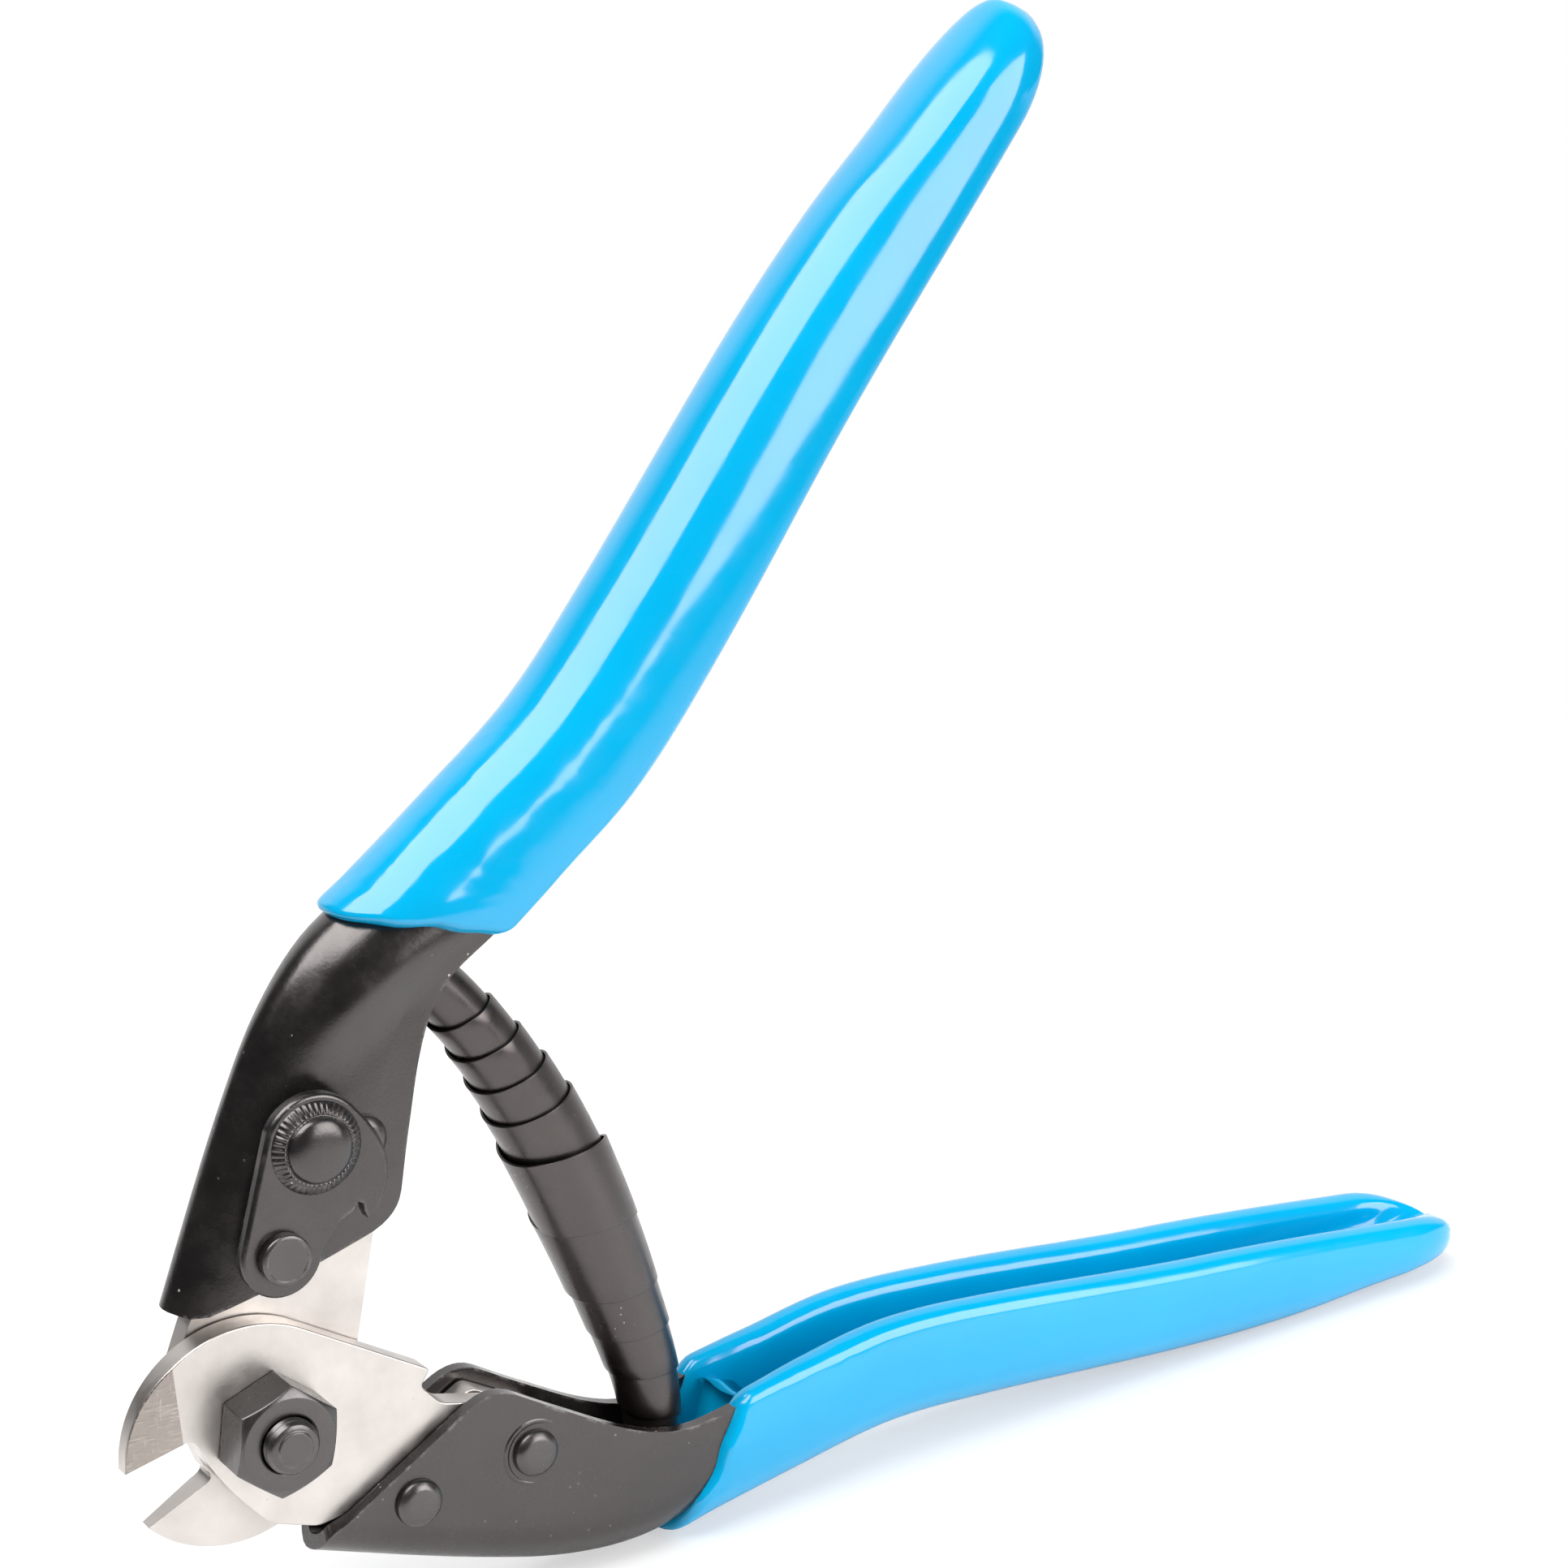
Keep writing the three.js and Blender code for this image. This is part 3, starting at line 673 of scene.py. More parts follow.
def blade_outline(jaw):
    """Outline points, and how many of them come before the cutting edge."""
    points = arc(JAW_CENTRE, JAW_RADIUS, jaw["tip"], JAW_TOP_ANGLE, 44)
    if jaw["notch"]:
        points += fillet([points[-1], (16.3, 7.3), (15.8, 5.4), (18.6, 3.9), SHANK_SHOULDER],
                         [0, NOTCH_ROUND, NOTCH_ROUND, CORNER, 0])[1:]
    else:
        points += fillet([points[-1], (20.8, 7), SHANK_SHOULDER], CORNER)[1:]
    points += [SHANK_TOP]
    points += bezier(SHANK_TOP, (37, -0.5), SHANK_BACK, 6)
    points += [SHANK_UNDER, SHANK_FOOT]
    points += fillet([SHANK_FOOT, (8.6, -9.8), HEEL, (1.2, -9.0)], CORNER)[1:-1]
    points += bezier(HEEL, (-1.8, -7.6), MOUTH_LOW, 8)
    mouth = len(points)
    throat = jaw["throat"]
    points += bezier(MOUTH_LOW, (throat[0] + 1.1, throat[1] + 0.9), throat, 6)
    return points, mouth


def blade(name, jaw, half):
    """A blade whose outer face is ground down beside the cutting edge; the ground facet gets the
    second material."""
    points, mouth = blade_outline(jaw)
    outer = -BLADE_FACE
    bm, weight = plate_mesh(points, outer, -SHEAR_GAP, lambda i: i >= mouth - 1, CUTTING_SHARE)
    for edge in bm.edges:
        if all(v.co.y > outer + 1 for v in edge.verts):
            edge[weight] = min(edge[weight], INNER_SHARE)
    along = (GRIND_FROM - GRIND_TO).normalized()
    away = Vector((-along.y, 0, along.x))
    origin = Vector((GRIND_TO.x, 0, GRIND_TO.y))
    geometry = bm.verts[:] + bm.edges[:] + bm.faces[:]
    bmesh.ops.bisect_plane(bm, geom=geometry, plane_co=origin, plane_no=away, dist=1e-4)
    for vertex in bm.verts:
        gone = (vertex.co - origin).dot(away)
        if gone > 1e-3 and vertex.co.y < outer + 1:
            vertex.co.y += gone * GRIND_SLOPE
    for face in bm.faces:
        centre = face.calc_center_median()
        is_outer = all(v.co.y < outer + GRIND_REACH for v in face.verts)
        if is_outer and (centre - origin).dot(away) > 0 and abs(face.normal.y) > 0.9:
            face.material_index = 1
    obj = object_of(name, bm, half)
    bevel(obj, BLADE_EDGE, segments=4)
    for _ in range(2):
        obj.data.materials.append(None)
    return settle(obj)


def spacer(name, half):
    """The plate that fills the empty half of the channel beside the blade."""
    outline = fillet([(12, -8.7), (23.6, 4.9), SHANK_TOP, (35, 0.5), SHANK_BACK, SHANK_UNDER], CORNER,
                     closed=True)
    bm, _ = plate_mesh(outline, SHEAR_GAP, BLADE_FACE, lambda i: False, CUTTING_SHARE)
    obj = object_of(name, bm, half)
    bevel(obj, SPACER_EDGE, segments=2)
    return settle(obj)


# ---- fasteners


def mirrored(profile):
    return [(r, -y) for r, y in reversed(profile)]


def rivet_head(flat):
    """Half profile of a rivet's end: shank, upright rim, rounded shoulder and nearly flat top."""
    high = RIVET_HEAD + FIT / 2
    head = [(RIVET_HEAD_R, HEAD_HALF), (RIVET_HEAD_R, HEAD_HALF + 0.45 * high),
            (flat, HEAD_HALF + 0.93 * high), (0, HEAD_HALF + high)]
    return [(RIVET_R, HEAD_HALF)] + fillet(head, [0, 0.5 * high, 0.9 * high, 0], 6)


def rivet(name, at, half):
    far = rivet_head(RIVET_FLAT)
    return settle(lathe(name, mirrored(far) + [(RIVET_R, 0)] + far, at, half))


def pressed_ring(name, at, half):
    """The shallow ring that riveting leaves in the sheet round a head."""
    ring = fillet(RING_PROFILE, [0, 0.2, 0.2, 0.2, 0], 4)
    return settle(lathe(name, [(r, -(HEAD_HALF + y)) for r, y in ring], at, half))


def latch_rivet(name, half):
    """A rivet long enough to carry the catch under a flat head with a raised rim."""
    over = LATCH_HIGH + 0.05
    top = over + LATCH_HEAD + FIT / 2
    head = fillet([(RIVET_R, over), (LATCH_HEAD_R, over), (LATCH_HEAD_R, top - 0.12),
                   (LATCH_HEAD_R - 0.42, top - 0.02), (LATCH_HEAD_R - 0.5, top - 0.1), (0, top - 0.06)],
                  [0, 0, 0.25, 0.12, 0.1, 0], 4)
    return settle(lathe(name, mirrored(rivet_head(LATCH_RIVET_FLAT)) + head, FRONT_RIVET, half))


def ring_piece(name, inner, outer, low, thick, at, half):
    high = low + thick
    profile = fillet([(inner, low), (outer, low), (outer, high), (inner, high), (inner, low)],
                     [0, RING_EDGE, RING_EDGE, RING_EDGE, 0], 3)
    return settle(lathe(name, profile, at, half))


def hexagon_radius(angle):
    """Distance from the axis to the nut's side in one direction."""
    turned = (angle - NUT_TURN) % (math.pi / 3) - math.pi / 6
    return NUT_FLATS / 2 / math.cos(turned)


def hexagon_body(name, far, near, bore, half):
    """A hexagon between two levels of y, chamfered at the far end by a 30 degree cone."""
    steps = 16 * 6
    direction = 1 if far > near else -1
    rings = []

    def ring(place):
        points = []
        for turn in around(steps):
            angle = NUT_TURN + turn
            r, y = place(hexagon_radius(angle))
            points.append((r * math.sin(angle), y, r * math.cos(angle)))
        rings.append(points)

    if bore:
        ring(lambda rim: (bore, near))
        ring(lambda rim: (bore, far - direction * BORE_CHAMFER))
        ring(lambda rim: (bore + BORE_CHAMFER, far))
    else:
        ring(lambda rim: (CENTRE_R, far))
    for share in (0, 0.5, 1.0):
        ring(lambda rim, s=share: (lerp(NUT_CONE, rim, s),
                                   far - direction * (rim - NUT_CONE) * s * CHAMFER_SLOPE))
    ring(lambda rim: (rim, near))
    ring(lambda rim: (bore or CENTRE_R, near))
    vertices = [point for points in rings for point in points]
    obj = make_object(name, vertices, grid_faces(len(rings), steps, True), half)
    bevel(obj, HEX_EDGE, segments=3, angle=24)
    return settle(obj)


def bolt(name, half):
    """Shank with its threads worked into rings, a chamfered start and a dished end."""
    end = NUT_TOP - BOLT_STICKS_OUT
    profile = [(0, end + 0.02), (1.5, end), (1.72, end), (1.85, end + 0.14), (2.1, end + 0.18),
               (THREAD_ROOT, end + 0.3), (THREAD_CREST, end + 0.85)]
    for k in range(THREADS_SHOWN):
        profile += [(THREAD_ROOT, end + 1.2 + k), (THREAD_CREST, end + 1.65 + k)]
    profile += [(THREAD_CREST, HEAD_UNDER + 0.5)]
    shank = fillet(profile, [0] + [0.12] * (len(profile) - 2) + [0], 4)
    return settle(lathe(name, shank, (0, 0), half, 72))


# ---- catch


def latch_plate(name, half):
    """The catch: a lobe round the rivet, a larger one under the button and a hook's mouth."""
    points = arc(FRONT_RIVET, LATCH_PIVOT_LOBE, 70, 268, 26)
    points += arc(LATCH_BUTTON, LATCH_BUTTON_LOBE, 268, 395, 20)[1:]
    points += bezier(points[-1], (30.6, 2.5), (26.6, 2.9), 10)
    points += bezier((26.6, 2.9), (24, 3.2), (22.9, 1.9), 6)
    points += [(23.6, 1.2), (24.3, 0.9), (24.4, 0.3), (23.4, 0.0), (22.4, -0.9)]
    bm, weight = plate_mesh(points, LATCH_LOW, LATCH_HIGH, lambda i: i >= len(points) - 6, HOOK_SHARE)
    for edge in bm.edges:
        if all(v.co.y < (LATCH_LOW + LATCH_HIGH) / 2 for v in edge.verts):
            edge[weight] *= LOW_SHARE
    obj = object_of(name, bm, half)
    bevel(obj, LATCH_EDGE, segments=4)
    return settle(obj)


def latch_button(name, half):
    """Thumb button: a smooth dome above a sloping skirt that is notched like a coin's edge."""
    steps = 180
    profile = []
    for k in range(17):
        share = math.sin(math.pi / 2 * k / 16)
        dome = (BUTTON_HEIGHT - BUTTON_SHOULDER) * (1 - share ** DOME_POWER) ** 0.5
        profile.append((BUTTON_R * share, BUTTON_SHOULDER + dome, 0))
    profile += [(BUTTON_R + out, height, cut) for out, height, cut in BUTTON_SKIRT]
    vertices = []
    for r, height, cut in profile:
        for angle in around(steps):
            notch = BUTTON_NOTCH * cut * max(0.0, math.cos(angle * BUTTON_TEETH)) ** 0.5
            vertices.append((LATCH_BUTTON[0] + r * math.cos(angle), LATCH_HIGH + height - notch,
                             LATCH_BUTTON[1] + r * math.sin(angle)))
    return settle(make_object(name, vertices, grid_faces(len(profile), steps, True), half), weighted=False)


# ---- spring


def spring_curve(samples=600):
    """Dense points of the spring's bent axis (a centripetal curve through SPRING_AXIS), with
    their distance from the lower end."""
    points = [Vector(p) for p in SPRING_AXIS]
    points = [points[0] * 2 - points[1]] + points + [points[-1] * 2 - points[-2]]
    places = []
    spans = len(points) - 3
    for k in range(samples + 1):
        whole = k / samples * spans
        i = min(int(whole), spans - 1)
        t = whole - i
        p = points[i:i + 4]
        knots = [0.0]
        for a, b in zip(p, p[1:]):
            knots.append(knots[-1] + math.sqrt((b - a).length))
        at = lerp(knots[1], knots[2], t)

        def mix(a, b, ta, tb):
            return a * ((tb - at) / (tb - ta)) + b * ((at - ta) / (tb - ta))

        a1 = mix(p[0], p[1], knots[0], knots[1])
        a2 = mix(p[1], p[2], knots[1], knots[2])
        a3 = mix(p[2], p[3], knots[2], knots[3])
        b1 = mix(a1, a2, knots[0], knots[2])
        b2 = mix(a2, a3, knots[1], knots[3])
        places.append(mix(b1, b2, knots[1], knots[2]))
    distances = [0.0]
    for a, b in zip(places, places[1:]):
        distances.append(distances[-1] + (b - a).length)
    return places, distances


SPRING_PLACES, SPRING_DISTANCES = spring_curve()
SPRING_LENGTH = SPRING_DISTANCES[-1]


def spring_at(distance):
    """Point of the axis and its direction, as vectors in the half frame."""
    wanted = clamp(distance, 0, SPRING_LENGTH)
    high = min(bisect.bisect_right(SPRING_DISTANCES, wanted), len(SPRING_DISTANCES) - 1)
    low = high - 1
    a, b = SPRING_PLACES[low], SPRING_PLACES[high]
    t = (wanted - SPRING_DISTANCES[low]) / (SPRING_DISTANCES[high] - SPRING_DISTANCES[low])
    before = SPRING_PLACES[max(low - 4, 0)]
    after = SPRING_PLACES[min(high + 4, len(SPRING_PLACES) - 1)]
    place = a.lerp(b, t)
    direction = (after - before).normalized()
    return Vector((place.x, 0, place.y)), Vector((direction.x, 0, direction.y))


def coil_radius(turn):
    """Radius of the strip: full in the middle turn, then a first step and a steady taper."""
    outer = abs(turn)
    drops = clamp((outer - FLAT_TURN) / STEP_TURN) + max(0.0, outer - FLAT_TURN - STEP_TURN)
    if turn > 0:
        return COIL_MAX_R - COIL_STEP * drops
    return COIL_MAX_R - COIL_STEP_BELOW * drops - COIL_TAPER_BELOW * drops * drops


def coil_distance(turn):
    """Distance of the strip's middle along the axis."""
    i = 0
    while i < len(COIL_STATIONS) - 2 and turn > COIL_STATIONS[i + 1][0]:
        i += 1
    (before, start), (after, end) = COIL_STATIONS[i], COIL_STATIONS[i + 1]
    along = lerp(start, end, (turn - before) / (after - before))
    spread = smoothstep(turn, -FLAT_TURN, FLAT_TURN) - 0.5
    return SPRING_LENGTH / 2 + WIDEST + along + MID_TURN_EXTRA * spread


def volute(name):
    """The strip's section, swept round the bent axis turn by turn."""
    per_turn = 72
    first_turn = COIL_STATIONS[0][0]
    steps = round((COIL_STATIONS[-1][0] - first_turn) * per_turn)
    across = 7
    side = Vector((0, 1, 0))
    vertices = []
    section = fillet([(-STRIP / 2, -STRIP_WIDTH / 2), (-STRIP / 2, STRIP_WIDTH / 2),
                      (STRIP / 2, STRIP_WIDTH / 2), (STRIP / 2, -STRIP_WIDTH / 2)],
                     STRIP_EDGE, 2, closed=True)
    filled = []
    for i, point in enumerate(section):
        following = section[(i + 1) % len(section)]
        filled.append(point)
        if abs(following[1] - point[1]) > 1:
            filled += [(point[0], lerp(point[1], following[1], k / across)) for k in range(1, across)]
    for i in range(steps + 1):
        turn = first_turn + i / per_turn
        angle = -2 * math.pi * turn
        radius = coil_radius(turn)
        cone = CONE_BELOW * (1 - smoothstep(turn, 0, FLAT_TURN))
        middle = coil_distance(turn)
        for out, along in filled:
            centre, direction = spring_at(middle + along)
            across_axis = side.cross(direction)
            reach = radius + out - cone * (STRIP_WIDTH / 2 - along)
            point = centre + (across_axis * math.cos(angle) + side * math.sin(angle)) * reach
            vertices.append(tuple(point))
    columns = len(filled)
    faces = grid_faces(steps + 1, columns, True)
    last = steps * columns
    faces.append(tuple(range(columns)))
    faces.append(tuple(last + j for j in range(columns)))
    return settle(make_object(name, vertices, faces, LOWER))


def seat(name, half):
    """Flanged peg that centres the end of the spring."""
    profile = fillet(SEAT_PROFILE, [0, 0.2, 0.15, 0.2, 0.2, 0.2, 0.6, 0], 4)
    place, direction = spring_at(0)
    turn = Vector((0, 1, 0)).rotation_difference(direction).to_matrix().to_4x4()
    return settle(lathe(name, profile, (0, 0), half @ Matrix.Translation(place) @ turn, 32))


# ---- materials


class Shader:
    """Nodes of a material or a world: node() adds one, sets its properties and feeds its inputs."""

    def __init__(self, owner, place='Object'):
        owner.use_nodes = True
        self.owner = owner
        self.tree = owner.node_tree
        self.place = self.node('TexCoord').outputs[place]

    def node(self, kind, settings=None, **inputs):
        made = self.tree.nodes.new('ShaderNode' + kind)
        for key, value in (settings or {}).items():
            setattr(made, key, value)
        for key, value in inputs.items():
            self.feed(made.inputs[self.spelled(made, key)], value)
        return made

    @staticmethod
    def spelled(made, key):
        if key.startswith("i_"):
            return int(key[2:])
        return key.replace("_", " ")

    def feed(self, socket, value):
        if isinstance(value, bpy.types.NodeSocket):
            self.tree.links.new(value, socket)
        else:
            socket.default_value = value

    def noise(self, scale, detail=4.0, roughness=0.55, stretch=None, distortion=0.0):
        place = self.place
        if stretch:
            place = self.node('Mapping', Vector=place, Scale=stretch).outputs[0]
        made = self.node('TexNoise', Vector=place, Scale=scale, Detail=detail,
                         Roughness=roughness, Distortion=distortion)
        return made.outputs[0]

    def cells(self, scale):
        """Distance from the nearest of many scattered points, and a number kept by each point."""
        made = self.node('TexVoronoi', Vector=self.place, Scale=scale)
        return made.outputs['Distance'], made.outputs['Color']

    def dots(self, scale, outer, inner):
        """1 inside scattered dots, 0 outside them."""
        return self.spread(self.cells(scale)[0], outer, inner)

    def spread(self, value, low, high, to_low=0.0, to_high=1.0):
        made = self.node('MapRange', Value=value)
        sockets = ("From Min", "From Max", "To Min", "To Max")
        for key, number in zip(sockets, (low, high, to_low, to_high)):
            made.inputs[key].default_value = number
        return made.outputs[0]

    def math(self, operation, a, b=0.5):
        return self.node('Math', {"operation": operation}, i_0=a, i_1=b).outputs[0]

    def times(self, a, b):
        return self.math('MULTIPLY', a, b)

    def measure(self, operation, a, b):
        """The distance or dot product of two vectors."""
        return self.node('VectorMath', {"operation": operation}, i_0=a, i_1=b).outputs['Value']

    def mix(self, factor, a, b):
        made = self.node('Mix', {"data_type": 'RGBA'}, Factor=factor)
        self.feed(made.inputs[6], a)
        self.feed(made.inputs[7], b)
        return made.outputs[2]

    def seen(self):
        """1 where the camera itself looks, 0 for light and reflections."""
        return self.node('LightPath').outputs['Is Camera Ray']

    def edges(self, radius):
        """1 on edges that a rounding of that radius would take off, 0 on flats."""
        rounded = self.node('Bevel', {"samples": 6}, Radius=radius).outputs[0]
        plain = self.node('NewGeometry').outputs['Normal']
        return self.spread(self.measure('DOT_PRODUCT', rounded, plain), 0.995, 0.86)

    def bump(self, height, strength, distance, under=None):
        made = self.node('Bump', Height=height, Strength=strength, Distance=distance)
        if under is not None:
            self.feed(made.inputs['Normal'], under)
        return made.outputs[0]

    def surface(self, **inputs):
        for key, value in inputs.items():
            self.feed(self.tree.nodes["Principled BSDF"].inputs[key.replace("_", " ")], value)
        return self.owner


def rgb(red, green, blue):
    return (red, green, blue, 1.0)


def coated_steel(name, dark, light, rough, speck_share):
    """Black coating over pressed steel: fine orange peel, rubbed patches, paint nicked to bright
    metal along the edges."""
    s = Shader(bpy.data.materials.new(name))
    patches = s.noise(130, 5, 0.6)
    grain = s.noise(2600, 3, 0.6)
    colour = s.mix(s.spread(patches, 0.35, 0.68), rgb(*dark), rgb(*light))
    edge = s.edges(0.0007)
    worn = s.times(edge, s.spread(s.noise(520, 5, 0.7), 0.5, 0.66))
    colour = s.mix(s.times(worn, 0.7), colour, rgb(0.24, 0.22, 0.21))
    specks = s.dots(750, 0.13, 0.07)
    sparse = s.spread(s.noise(140, 3, 0.6), 0.66 - speck_share, 0.72 - speck_share)
    near_edge = s.math('ADD', s.times(s.edges(0.0022), 1.5), 0.1)
    specks = s.times(s.times(specks, sparse), s.math('MINIMUM', near_edge, 1.0))
    colour = s.mix(specks, colour, rgb(0.62, 0.58, 0.54))
    gloss = s.spread(s.noise(310, 6, 0.65), 0.3, 0.72, rough - 0.07, rough + 0.09)
    gloss = s.math('ADD', gloss, s.times(worn, 0.1))
    wavy = s.bump(s.noise(150, 2, 0.5), 0.12, 0.0006)
    skin = s.bump(grain, 0.16, 0.00008, wavy)
    distance, number = s.cells(430)
    chip = s.times(s.spread(distance, 0.08, 0.05), s.spread(number, 0.68, 0.72))
    colour = s.mix(s.times(chip, 0.75), colour, rgb(0.55, 0.52, 0.49))
    chips = s.bump(s.math('MAXIMUM', specks, chip), 0.5, 0.0001, skin)
    return s.surface(Base_Color=colour, Roughness=gloss, Normal=chips, IOR=1.75,
                     Specular_Tint=rgb(1.0, 0.93, 0.91))


def oxide_steel(name):
    """Oiled black oxide on the fasteners, rubbed bright along the edges."""
    s = Shader(bpy.data.materials.new(name))
    colour = s.mix(s.spread(s.noise(400, 5, 0.6), 0.3, 0.7),
                   rgb(0.006, 0.0055, 0.0055), rgb(0.013, 0.0115, 0.0115))
    edge = s.times(s.edges(0.0004), s.spread(s.noise(900, 4, 0.7), 0.42, 0.62))
    colour = s.mix(s.times(edge, 0.7), colour, rgb(0.3, 0.28, 0.26))
    gloss = s.spread(s.noise(700, 5, 0.65), 0.3, 0.7, 0.24, 0.36)
    skin = s.bump(s.noise(3200, 3, 0.6), 0.14, 0.00006, s.bump(s.noise(500, 2, 0.5), 0.1, 0.0002))
    return s.surface(Base_Color=colour, Roughness=gloss, Normal=skin, IOR=1.85,
                     Specular_Tint=rgb(1.0, 0.94, 0.92))


def spring_steel(name):
    """Brownish black tempered strip with a few pale specks."""
    s = Shader(bpy.data.materials.new(name))
    colour = s.mix(s.spread(s.noise(220, 5, 0.65), 0.35, 0.7),
                   rgb(0.005, 0.0042, 0.004), rgb(0.012, 0.0095, 0.0085))
    specks = s.times(s.dots(1500, 0.16, 0.1), s.spread(s.noise(190, 2, 0.5), 0.62, 0.7))
    colour = s.mix(specks, colour, rgb(0.3, 0.27, 0.24))
    gloss = s.spread(s.noise(420, 6, 0.65), 0.3, 0.72, 0.24, 0.38)
    skin = s.bump(s.noise(2400, 3, 0.6), 0.12, 0.00006)
    return s.surface(Base_Color=colour, Roughness=gloss, Normal=skin, IOR=1.8,
                     Specular_Tint=rgb(1.0, 0.89, 0.87))


def blade_steel(name, is_ground):
    """Satin steel: cloudy sheen from tumbling, or short crossed scratches on the ground facet."""
    s = Shader(bpy.data.materials.new(name))
    clouds = s.noise(160, 5, 0.6)
    colour = s.mix(s.spread(clouds, 0.3, 0.7), rgb(0.50, 0.465, 0.44), rgb(0.60, 0.56, 0.53))
    pits = s.times(s.dots(1100, 0.12, 0.06), s.spread(s.noise(150, 2, 0.5), 0.56, 0.66))
    colour = s.mix(s.times(pits, 0.6), colour, rgb(0.32, 0.29, 0.27))
    if is_ground:
        one = s.noise(300, 4, 0.7, stretch=(1.0, 1.0, 9.0), distortion=0.6)
        two = s.noise(320, 4, 0.7, stretch=(8.0, 1.0, 1.0), distortion=0.8)
        lines = s.math('MAXIMUM', s.spread(one, 0.5, 0.72), s.spread(two, 0.56, 0.76))
        colour = s.mix(s.times(lines, 0.7), rgb(0.30, 0.265, 0.24), rgb(0.52, 0.48, 0.45))
        gloss = s.spread(lines, 0, 1, 0.28, 0.42)
        skin = s.bump(lines, 0.35, 0.00008)
    else:
        gloss = s.spread(s.noise(500, 6, 0.6), 0.3, 0.7, 0.31, 0.43)
        skin = s.bump(s.noise(3000, 3, 0.65), 0.16, 0.00006, s.bump(s.noise(330, 3, 0.5), 0.08, 0.0003))
    return s.surface(Base_Color=colour, Roughness=gloss, Normal=skin, Metallic=1.0)


def dipped_plastic(name):
    """Glossy dipped plastic in deep blue: slow runs, drips near the mouth and faint scuffs."""
    s = Shader(bpy.data.materials.new(name))
    tint = s.spread(s.noise(45, 3, 0.5), 0.3, 0.7)
    colour = s.mix(tint, rgb(0.0, 0.322, 0.585), rgb(0.0, 0.356, 0.635))
    scuffs = s.times(s.spread(s.noise(420, 6, 0.7, stretch=(1, 1, 5)), 0.6, 0.75), 0.12)
    colour = s.mix(scuffs, colour, rgb(0.06, 0.40, 0.66))
    gloss = s.spread(s.noise(260, 5, 0.6), 0.3, 0.75, 0.08, 0.16)
    runs = s.bump(s.noise(60, 2, 0.4), 0.14, 0.0011)
    away = s.measure('DISTANCE', s.place, PIVOT)
    drips = s.times(s.noise(125, 2, 0.5, distortion=0.4), s.spread(away, 0.088, 0.062))
    drained = s.bump(drips, 0.3, 0.0011, runs)
    skin = s.bump(s.noise(900, 3, 0.55), 0.02, 0.0001, drained)
    return s.surface(Base_Color=colour, Roughness=gloss, Normal=skin, Specular_IOR_Level=0.6,
                     Specular_Tint=rgb(1.0, 0.8, 1.0))


BLACK = coated_steel("black_coat", (0.0045, 0.004, 0.004), (0.011, 0.0095, 0.009), 0.25, 0.12)
CATCH_BLACK = coated_steel("catch_coat", (0.006, 0.0055, 0.0055), (0.012, 0.011, 0.011), 0.25, 0.02)
OXIDE = oxide_steel("oxide")
SPRING = spring_steel("spring_strip")
BLADE_STEEL = blade_steel("blade_satin", False)
GROUND = blade_steel("blade_ground", True)
BLUE = dipped_plastic("dipped_blue")

# ---- pieces


def place_piece(obj, body, slot_name, material, *nodes):
    """Gives a finished piece its body, its material and the nodes it stands for; slot_name is not used."""
    if not obj.data.materials:
        obj.data.materials.append(material)
    obj.data.materials[0] = material
    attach(obj, body)
    if nodes:
        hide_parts(*nodes)


def place_fastener(obj, body, *nodes):
    place_piece(obj, body, "oxide_steel", OXIDE, *nodes)


for body, half in HALVES.items():
    place_piece(handle(f"{body}_channel", half), body, "handle_steel", BLACK, f"{body}_handle")
    place_piece(grip(f"{body}_dipped_grip", half, TIP_ENDS[body], LIP_DROPS[body]), body,
                "blue_plastic", BLUE, f"{body}_grip")
    place_piece(web(f"{body}_web", half), body, "blue_plastic", BLUE)
    place_piece(spacer(f"{body}_filler", half), body, "blade_steel", BLADE_STEEL, f"{body}_spacer")
    place_fastener(seat(f"{body}_seat", half), body, f"{body}_spring_seat")
    place_fastener(rivet(f"{body}_rear_pin", REAR_RIVET, half), body, f"{body}_rear_rivet")
    place_piece(pressed_ring(f"{body}_rear_pin_ring", REAR_RIVET, half), body, "handle_steel", BLACK)

for name, jaw, body in (("front_blade", FRONT_JAW, "lower"), ("rear_blade", REAR_JAW, "upper")):
    piece = blade(name + "_steel", jaw, HALVES[body])
    place_piece(piece, body, "blade_steel", BLADE_STEEL, name)
    piece.data.materials[1] = GROUND

place_fastener(rivet("lower_front_pin", FRONT_RIVET, LOWER), "lower", "lower_front_rivet")
place_fastener(hexagon_body("nut", NUT_TOP, NUT_UNDER, BOLT_R, LOWER), "lower", "pivot_nut")
place_fastener(bolt("bolt_shank", LOWER), "lower", "pivot_bolt")
place_fastener(hexagon_body("bolt_head", HEAD_UNDER + BOLT_HEAD, HEAD_UNDER, 0, LOWER), "lower")
place_fastener(ring_piece("bolt_washer", BOLT_R, WASHER_R, WASHER_LOW, WASHER, (0, 0), LOWER),
               "lower", "pivot_washer")
place_fastener(latch_rivet("catch_pin", UPPER), "upper", "latch_rivet")
place_fastener(ring_piece("catch_washer", RIVET_R, LATCH_WASHER_R, LATCH_WASHER_LOW, LATCH_WASHER,
                          FRONT_RIVET, UPPER), "upper", "latch_washer")
place_piece(latch_plate("catch_plate", UPPER), "catch", "oxide_steel", CATCH_BLACK, "latch")
place_piece(latch_button("catch_button", UPPER), "catch", "oxide_steel", CATCH_BLACK)

spring = volute("spring_strip")
spring.data.materials.append(SPRING)
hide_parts("volute_spring")
low_end, _ = spring_at(0)
high_end, _ = spring_at(SPRING_LENGTH)
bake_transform(spring)

# ---- floor, light, camera

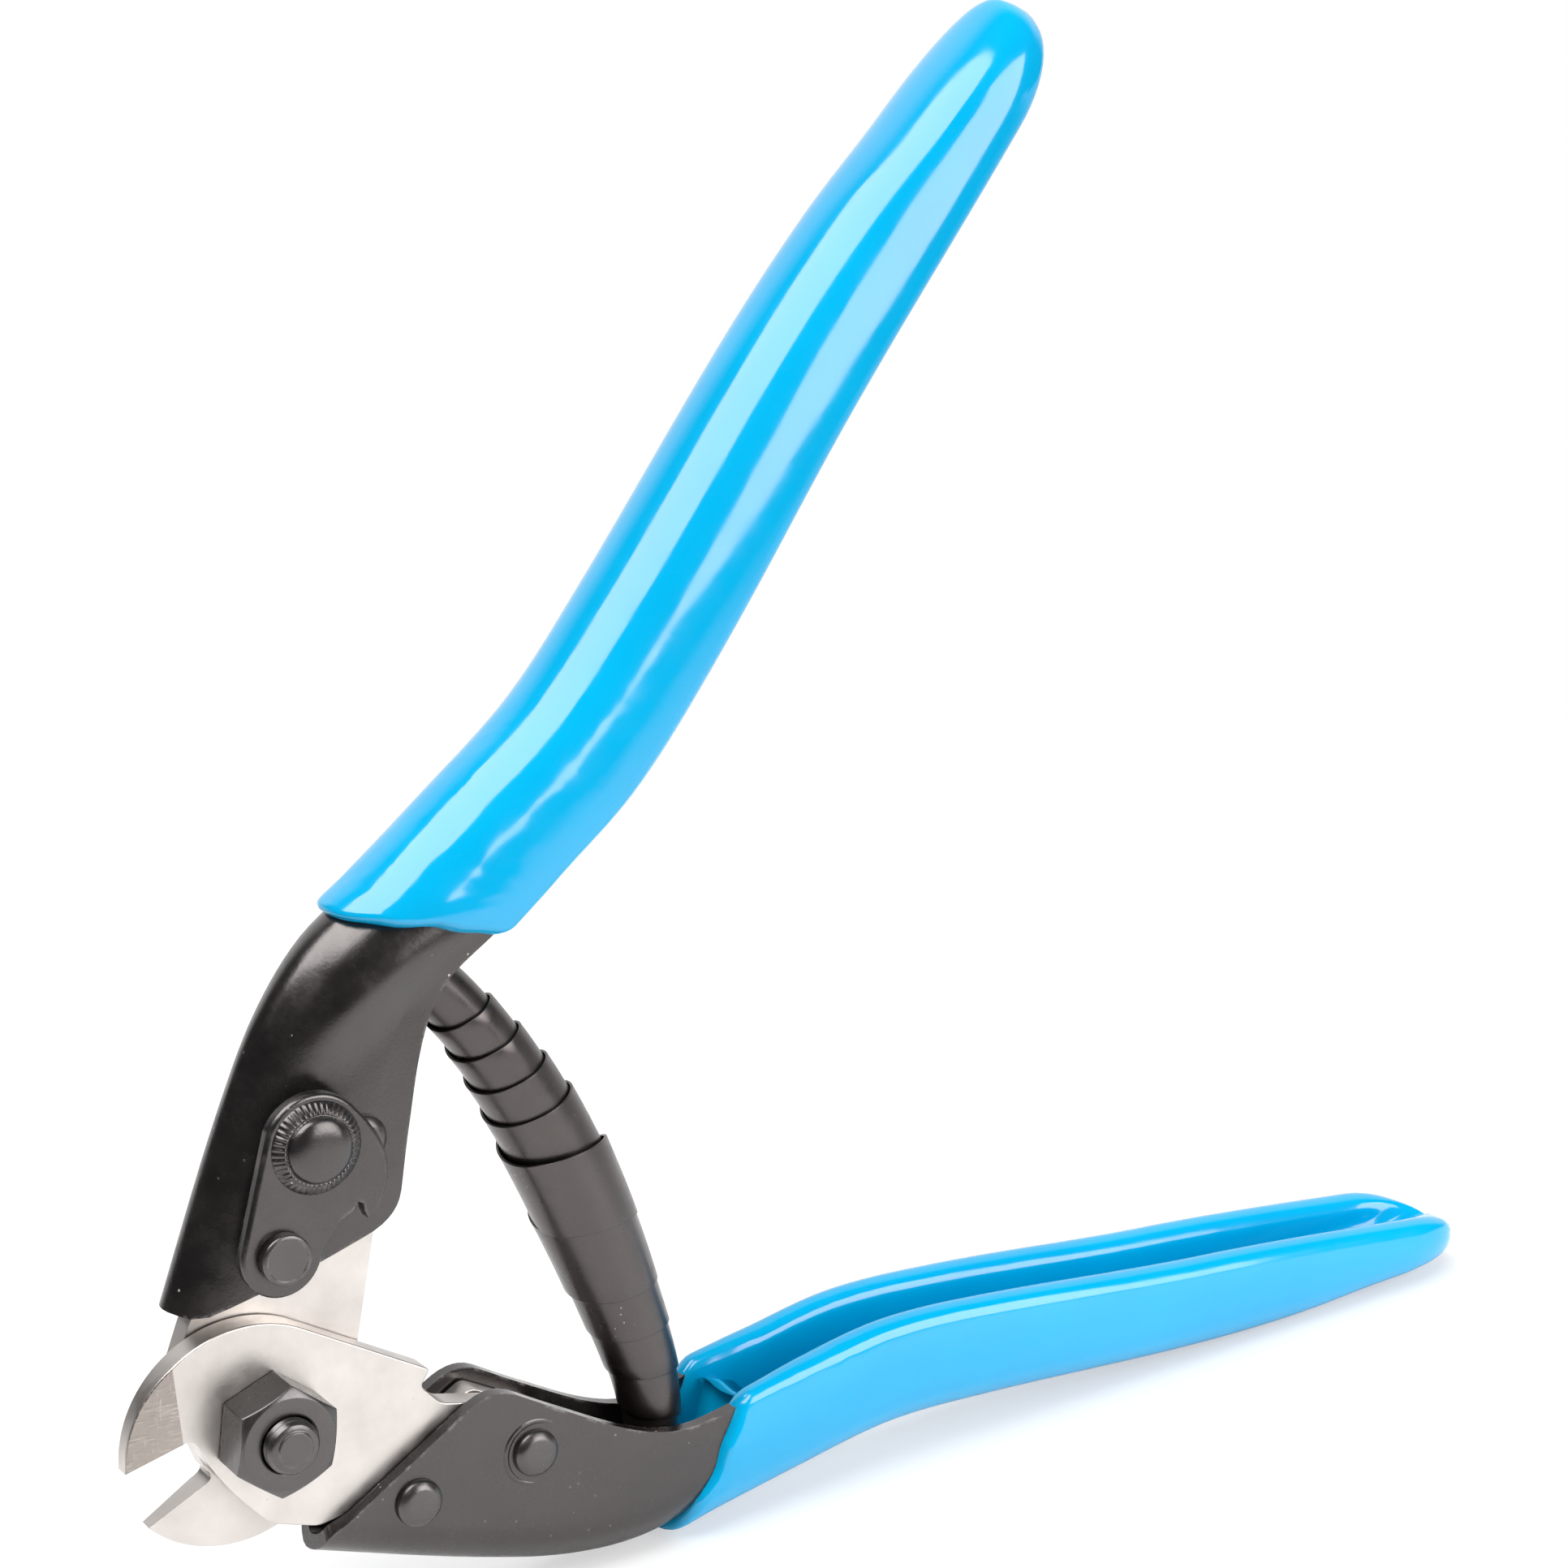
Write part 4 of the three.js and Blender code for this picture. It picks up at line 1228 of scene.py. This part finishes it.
BACKDROP_WAY = (0.50, 0.80, 0.33)  # from the tool to the white backdrop
FLOOR_SIZE = 30.0
FLOOR_LEVEL = -0.0002
PAPER_LIT_TO = (0.14, 0.40)  # distances over which the lit paper gives way to glow
PAPER_GLOW = (0.0, 0.3, 0.06, 1.0)  # glow over the way to the backdrop: dim in front of it
PAPER_SEEN_GLOW = 0.5  # least share of glow that the camera sees
ROOM_DIM = 0.05  # the dark room round the set
ROOM_BRIGHT = 1.0  # the white backdrop behind the tool
BACKDROP_EDGE = (0.55, 0.75)
WHITE = rgb(1.0, 1.0, 1.0)


def pale_paper():
    """Paper lit by the boxes near the tool, which fades into glowing white further off."""
    s = Shader(bpy.data.materials.new("pale_paper"))
    tone = s.mix(s.noise(3, 3), rgb(0.90, 0.90, 0.90), rgb(0.93, 0.93, 0.93))
    s.surface(Base_Color=tone, Roughness=0.6, Specular_IOR_Level=0.2)
    seen = s.seen()
    behind = s.spread(s.measure('DOT_PRODUCT', s.place, BACKDROP_WAY), *PAPER_GLOW)
    glow = s.node('Emission', Color=WHITE, Strength=s.math('MAXIMUM', behind, seen))
    away = s.spread(s.measure('DISTANCE', s.place, (0.0, 0.0, 0.0)), *PAPER_LIT_TO)
    share = s.math('MAXIMUM', away, s.times(seen, PAPER_SEEN_GLOW))
    paper = s.tree.nodes["Principled BSDF"]
    lit = s.node('MixShader', i_0=share, i_1=paper.outputs[0], i_2=glow.outputs[0])
    s.feed(s.tree.nodes["Material Output"].inputs["Surface"], lit.outputs[0])
    return s.owner


def room_light():
    """A dim room with a white backdrop behind the tool; the camera sees white all round."""
    s = Shader(bpy.data.worlds.new("studio"), 'Generated')
    behind = s.spread(s.measure('DOT_PRODUCT', s.place, BACKDROP_WAY), *BACKDROP_EDGE, ROOM_DIM, ROOM_BRIGHT)
    background = s.tree.nodes["Background"].inputs
    s.feed(background["Color"], WHITE)
    s.feed(background["Strength"], s.math('MAXIMUM', behind, s.seen()))
    return s.owner


def softbox(name, place, aim, width, height, power, roll=0.0):
    light = bpy.data.lights.new(name, 'AREA')
    light.shape = 'RECTANGLE'
    light.size = width
    light.size_y = height
    light.energy = power
    obj = link(name, light)
    obj.location = place
    facing = (Vector(aim) - Vector(place)).to_track_quat('-Z', 'Y').to_matrix()
    obj.rotation_euler = (facing @ Matrix.Rotation(math.radians(roll), 3, 'Z')).to_euler()


floor_mesh = bpy.data.meshes.new("floor")
floor_mesh.from_pydata([(x * FLOOR_SIZE, y * FLOOR_SIZE, FLOOR_LEVEL)
                        for x, y in ((-1, -1), (1, -1), (1, 1), (-1, 1))], [], [(0, 1, 2, 3)])
floor_mesh.materials.append(pale_paper())
floor = link("floor", floor_mesh)
bpy.context.scene.world = room_light()
bpy.context.scene.view_settings.view_transform = 'Standard'

AIM = (-0.01, 0.0, 0.09)
softbox("overhead_box", (-0.50, -0.15, 1.08), AIM, 1.30, 0.80, 23)
softbox("front_box", (0.416, -0.758, 0.356), AIM, 0.60, 0.66, 8.3, -11)

CAMERA_PLACE = (-0.17040, -0.25852, 0.15274)
CAMERA_AZIMUTH = math.radians(32.1168)
CAMERA_DROP = math.radians(13.4035)
CAMERA_ROLL = math.radians(-3.6352)
LENS = 67.53
SENSOR = 36

forward = Vector((math.sin(CAMERA_AZIMUTH) * math.cos(CAMERA_DROP),
                  math.cos(CAMERA_AZIMUTH) * math.cos(CAMERA_DROP), -math.sin(CAMERA_DROP)))
level = Vector((math.cos(CAMERA_AZIMUTH), -math.sin(CAMERA_AZIMUTH), 0))
upright = level.cross(forward)
right = level * math.cos(CAMERA_ROLL) + upright * math.sin(CAMERA_ROLL)
up = upright * math.cos(CAMERA_ROLL) - level * math.sin(CAMERA_ROLL)
camera = link("camera", bpy.data.cameras.new("camera"))
camera.data.lens = LENS
camera.data.sensor_width = SENSOR
camera.data.clip_start = 0.01
camera.matrix_world = Matrix.Translation(CAMERA_PLACE) @ Matrix((right, up, -forward)).transposed().to_4x4()
bpy.context.scene.camera = camera
